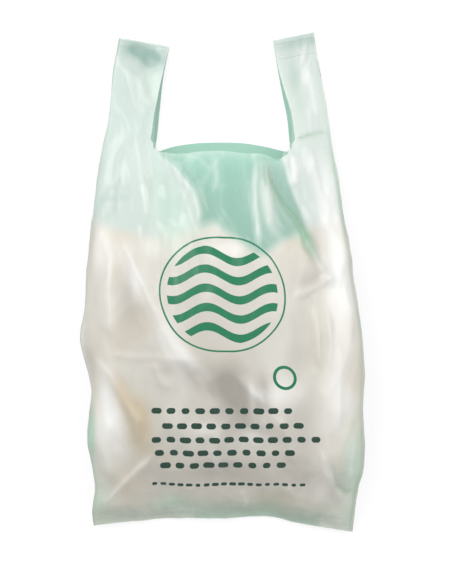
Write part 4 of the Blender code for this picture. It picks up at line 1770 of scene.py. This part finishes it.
# Each tone's patches: middle, reach, strength and, where it is turned, turn. Shade patches are painted shade,
# white patches painted highlights.
PATCHES: Sequence[TonePatch] = tuple(TonePatch(tone, *row) for tone, rows in (
    (Tone.PAINTED_SHADE, (
        ((-0.112, 0.27), (0.016, 0.06), 0.4),
        ((0.012, 0.162), (0.03, 0.042), 1.0, 12.0),
        ((-0.03, 0.19), (0.034, 0.022), 0.55, -18.0),
        ((0.0, 0.075), (0.07, 0.024), 0.6),
        ((0.088, 0.3), (0.022, 0.022), 0.35),
        ((0.088, 0.082), (0.022, 0.026), 0.4),
        ((-0.01, 0.262), (0.07, 0.044), 0.28),
        ((-0.062, 0.197), (0.02, 0.009), 0.4, 4.0),
        ((-0.037, 0.19), (0.006, 0.018), 0.45, 40.0),
        ((0.087, 0.405), (0.006, 0.034), 0.4, 12.0),
        ((0.144, 0.33), (0.003, 0.045), 0.35, 8.0),
        ((-0.096, 0.272), (0.018, 0.05), 0.42, 10.0),
        ((-0.085, 0.551), (0.012, 0.012), 0.65, -10.0),
        ((-0.097, 0.566), (0.016, 0.011), 0.45, -10.0),
        ((-0.091, 0.515), (0.007, 0.026), 0.4),
        ((-0.149, 0.35), (0.003, 0.045), 0.4, -6.0),
        ((0.098, 0.331), (0.006, 0.022), 0.5, 15.0),
        ((0.119, 0.306), (0.03, 0.008), 0.45, 30.0),
        ((0.062, 0.12), (0.036, 0.016), 0.4, -8.0),
        ((0.13, 0.06), (0.008, 0.026), 0.55, -24.0),
        ((0.046, 0.166), (0.0065, 0.024), 0.55, 4.0),
        ((-0.128, 0.196), (0.0045, 0.022), 0.45, 34.0),
        ((-0.1515, 0.122), (0.0035, 0.024), 0.8),
        ((-0.106, 0.567), (0.016, 0.011), 0.75, -10.0),
        ((-0.082, 0.558), (0.016, 0.012), 0.8, -10.0),
        ((-0.108, 0.52), (0.012, 0.024), 0.28),
        ((0.088, 0.576), (0.036, 0.0095), 0.8, 12.0),
        ((0.079, 0.545), (0.009, 0.028), 0.35, 8.0),
    )),
    (Tone.WARM, (
        ((-0.113, 0.163), (0.01, 0.032), 0.85, 30.0),
        ((-0.095, 0.124), (0.013, 0.03), 0.95, -4.0),
        ((0.069, 0.375), (0.0035, 0.05), 0.45, 26.0),
        ((-0.098, 0.146), (0.012, 0.02), 0.6, 16.0),
        ((0.105, 0.226), (0.009, 0.034), 0.3),
        ((-0.112, 0.35), (0.017, 0.011), 0.35),
        ((-0.112, 0.06), (0.024, 0.022), 0.4),
    )),
    (Tone.WHITE, (
        ((-0.122, 0.13), (0.011, 0.03), 0.6, 14.0),
        ((-0.04, 0.21), (0.007, 0.028), 0.55, 42.0),
        ((0.056, 0.368), (0.0085, 0.034), 0.45, 12.0),
        ((0.043, 0.392), (0.01, 0.045), 0.4, 3.0),
        ((-0.1, 0.3), (0.01, 0.04), 0.5, 24.0),
        ((0.03, 0.118), (0.018, 0.01), 0.45),
        ((-0.02, 0.128), (0.016, 0.008), 0.4),
        ((0.112, 0.052), (0.012, 0.024), 0.25, -14.0),
        ((0.004, 0.33), (0.024, 0.01), 0.35),
        ((-0.084, 0.334), (0.024, 0.014), 0.2),
        ((0.13, 0.31), (0.015, 0.065), 0.9, 6.0),
        ((-0.134, 0.158), (0.011, 0.048), 0.8),
        ((0.068, 0.168), (0.02, 0.017), 0.7, 30.0),
        ((0.128, 0.15), (0.016, 0.055), 0.65),
        ((-0.06, 0.222), (0.012, 0.05), 0.45, 22.0),
        ((0.032, 0.168), (0.004, 0.018), 0.4, 4.0),
        ((0.121, 0.388), (0.011, 0.045), 0.65, 8.0),
        ((0.051, 0.396), (0.007, 0.03), 0.4, 6.0),
        ((0.136, 0.018), (0.014, 0.014), 0.3),
        ((-0.139, 0.325), (0.012, 0.028), 0.55),
    )),
    (Tone.MINT, (
        ((0.06, 0.393), (0.0042, 0.034), 1.0, 22.0),
        ((0.0875, 0.352), (0.0058, 0.028), 1.0, 30.0),
        ((0.13, 0.415), (0.0022, 0.06), 0.8, 9.0),
        ((-0.057, 0.362), (0.026, 0.032), 0.5, 10.0),
        ((-0.072, 0.398), (0.01, 0.036), 0.45, 6.0),
        ((0.148, 0.08), (0.014, 0.04), 0.8),
        ((-0.1515, 0.116), (0.0045, 0.032), 0.95),
        ((-0.057, 0.036), (0.024, 0.012), 0.55),
        ((-0.146, 0.04), (0.016, 0.028), 0.45),
        ((0.139, 0.018), (0.022, 0.018), 0.35),
        ((-0.081, 0.53), (0.008, 0.034), 0.6, -8.0),
        ((0.086, 0.52), (0.007, 0.046), 0.45, 8.0),
    )),
) for row in rows)


def report(piece: bpy.types.Object) -> None:
    """Log a finished piece with its number of faces."""
    LOG.info("%s: %d faces", piece.name, len(piece.data.polygons))


def main() -> None:
    """Build the bag in order, declare its pieces, and set up the studio."""
    logging.basicConfig(level=logging.INFO, format="%(message)s")
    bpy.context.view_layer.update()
    floor = Studio().build()
    report(floor)
    material = FilmFinish().build(PlainPrint())
    sheet = FilmSheet(FOLDS, FilmZones(PATCHES, MILK_EDGE, LEFT_HAZE, RIGHT_HAZE))
    film = sheet.build()
    Crumple().apply(film, material)
    report(film)
    seals = SealLines().build(sheet.settled_seams(film), material)
    report(seals)
    for piece in (film, seals):
        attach(piece, "root")
    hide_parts("carrier_bag")


if __name__ == "__main__":
    main()
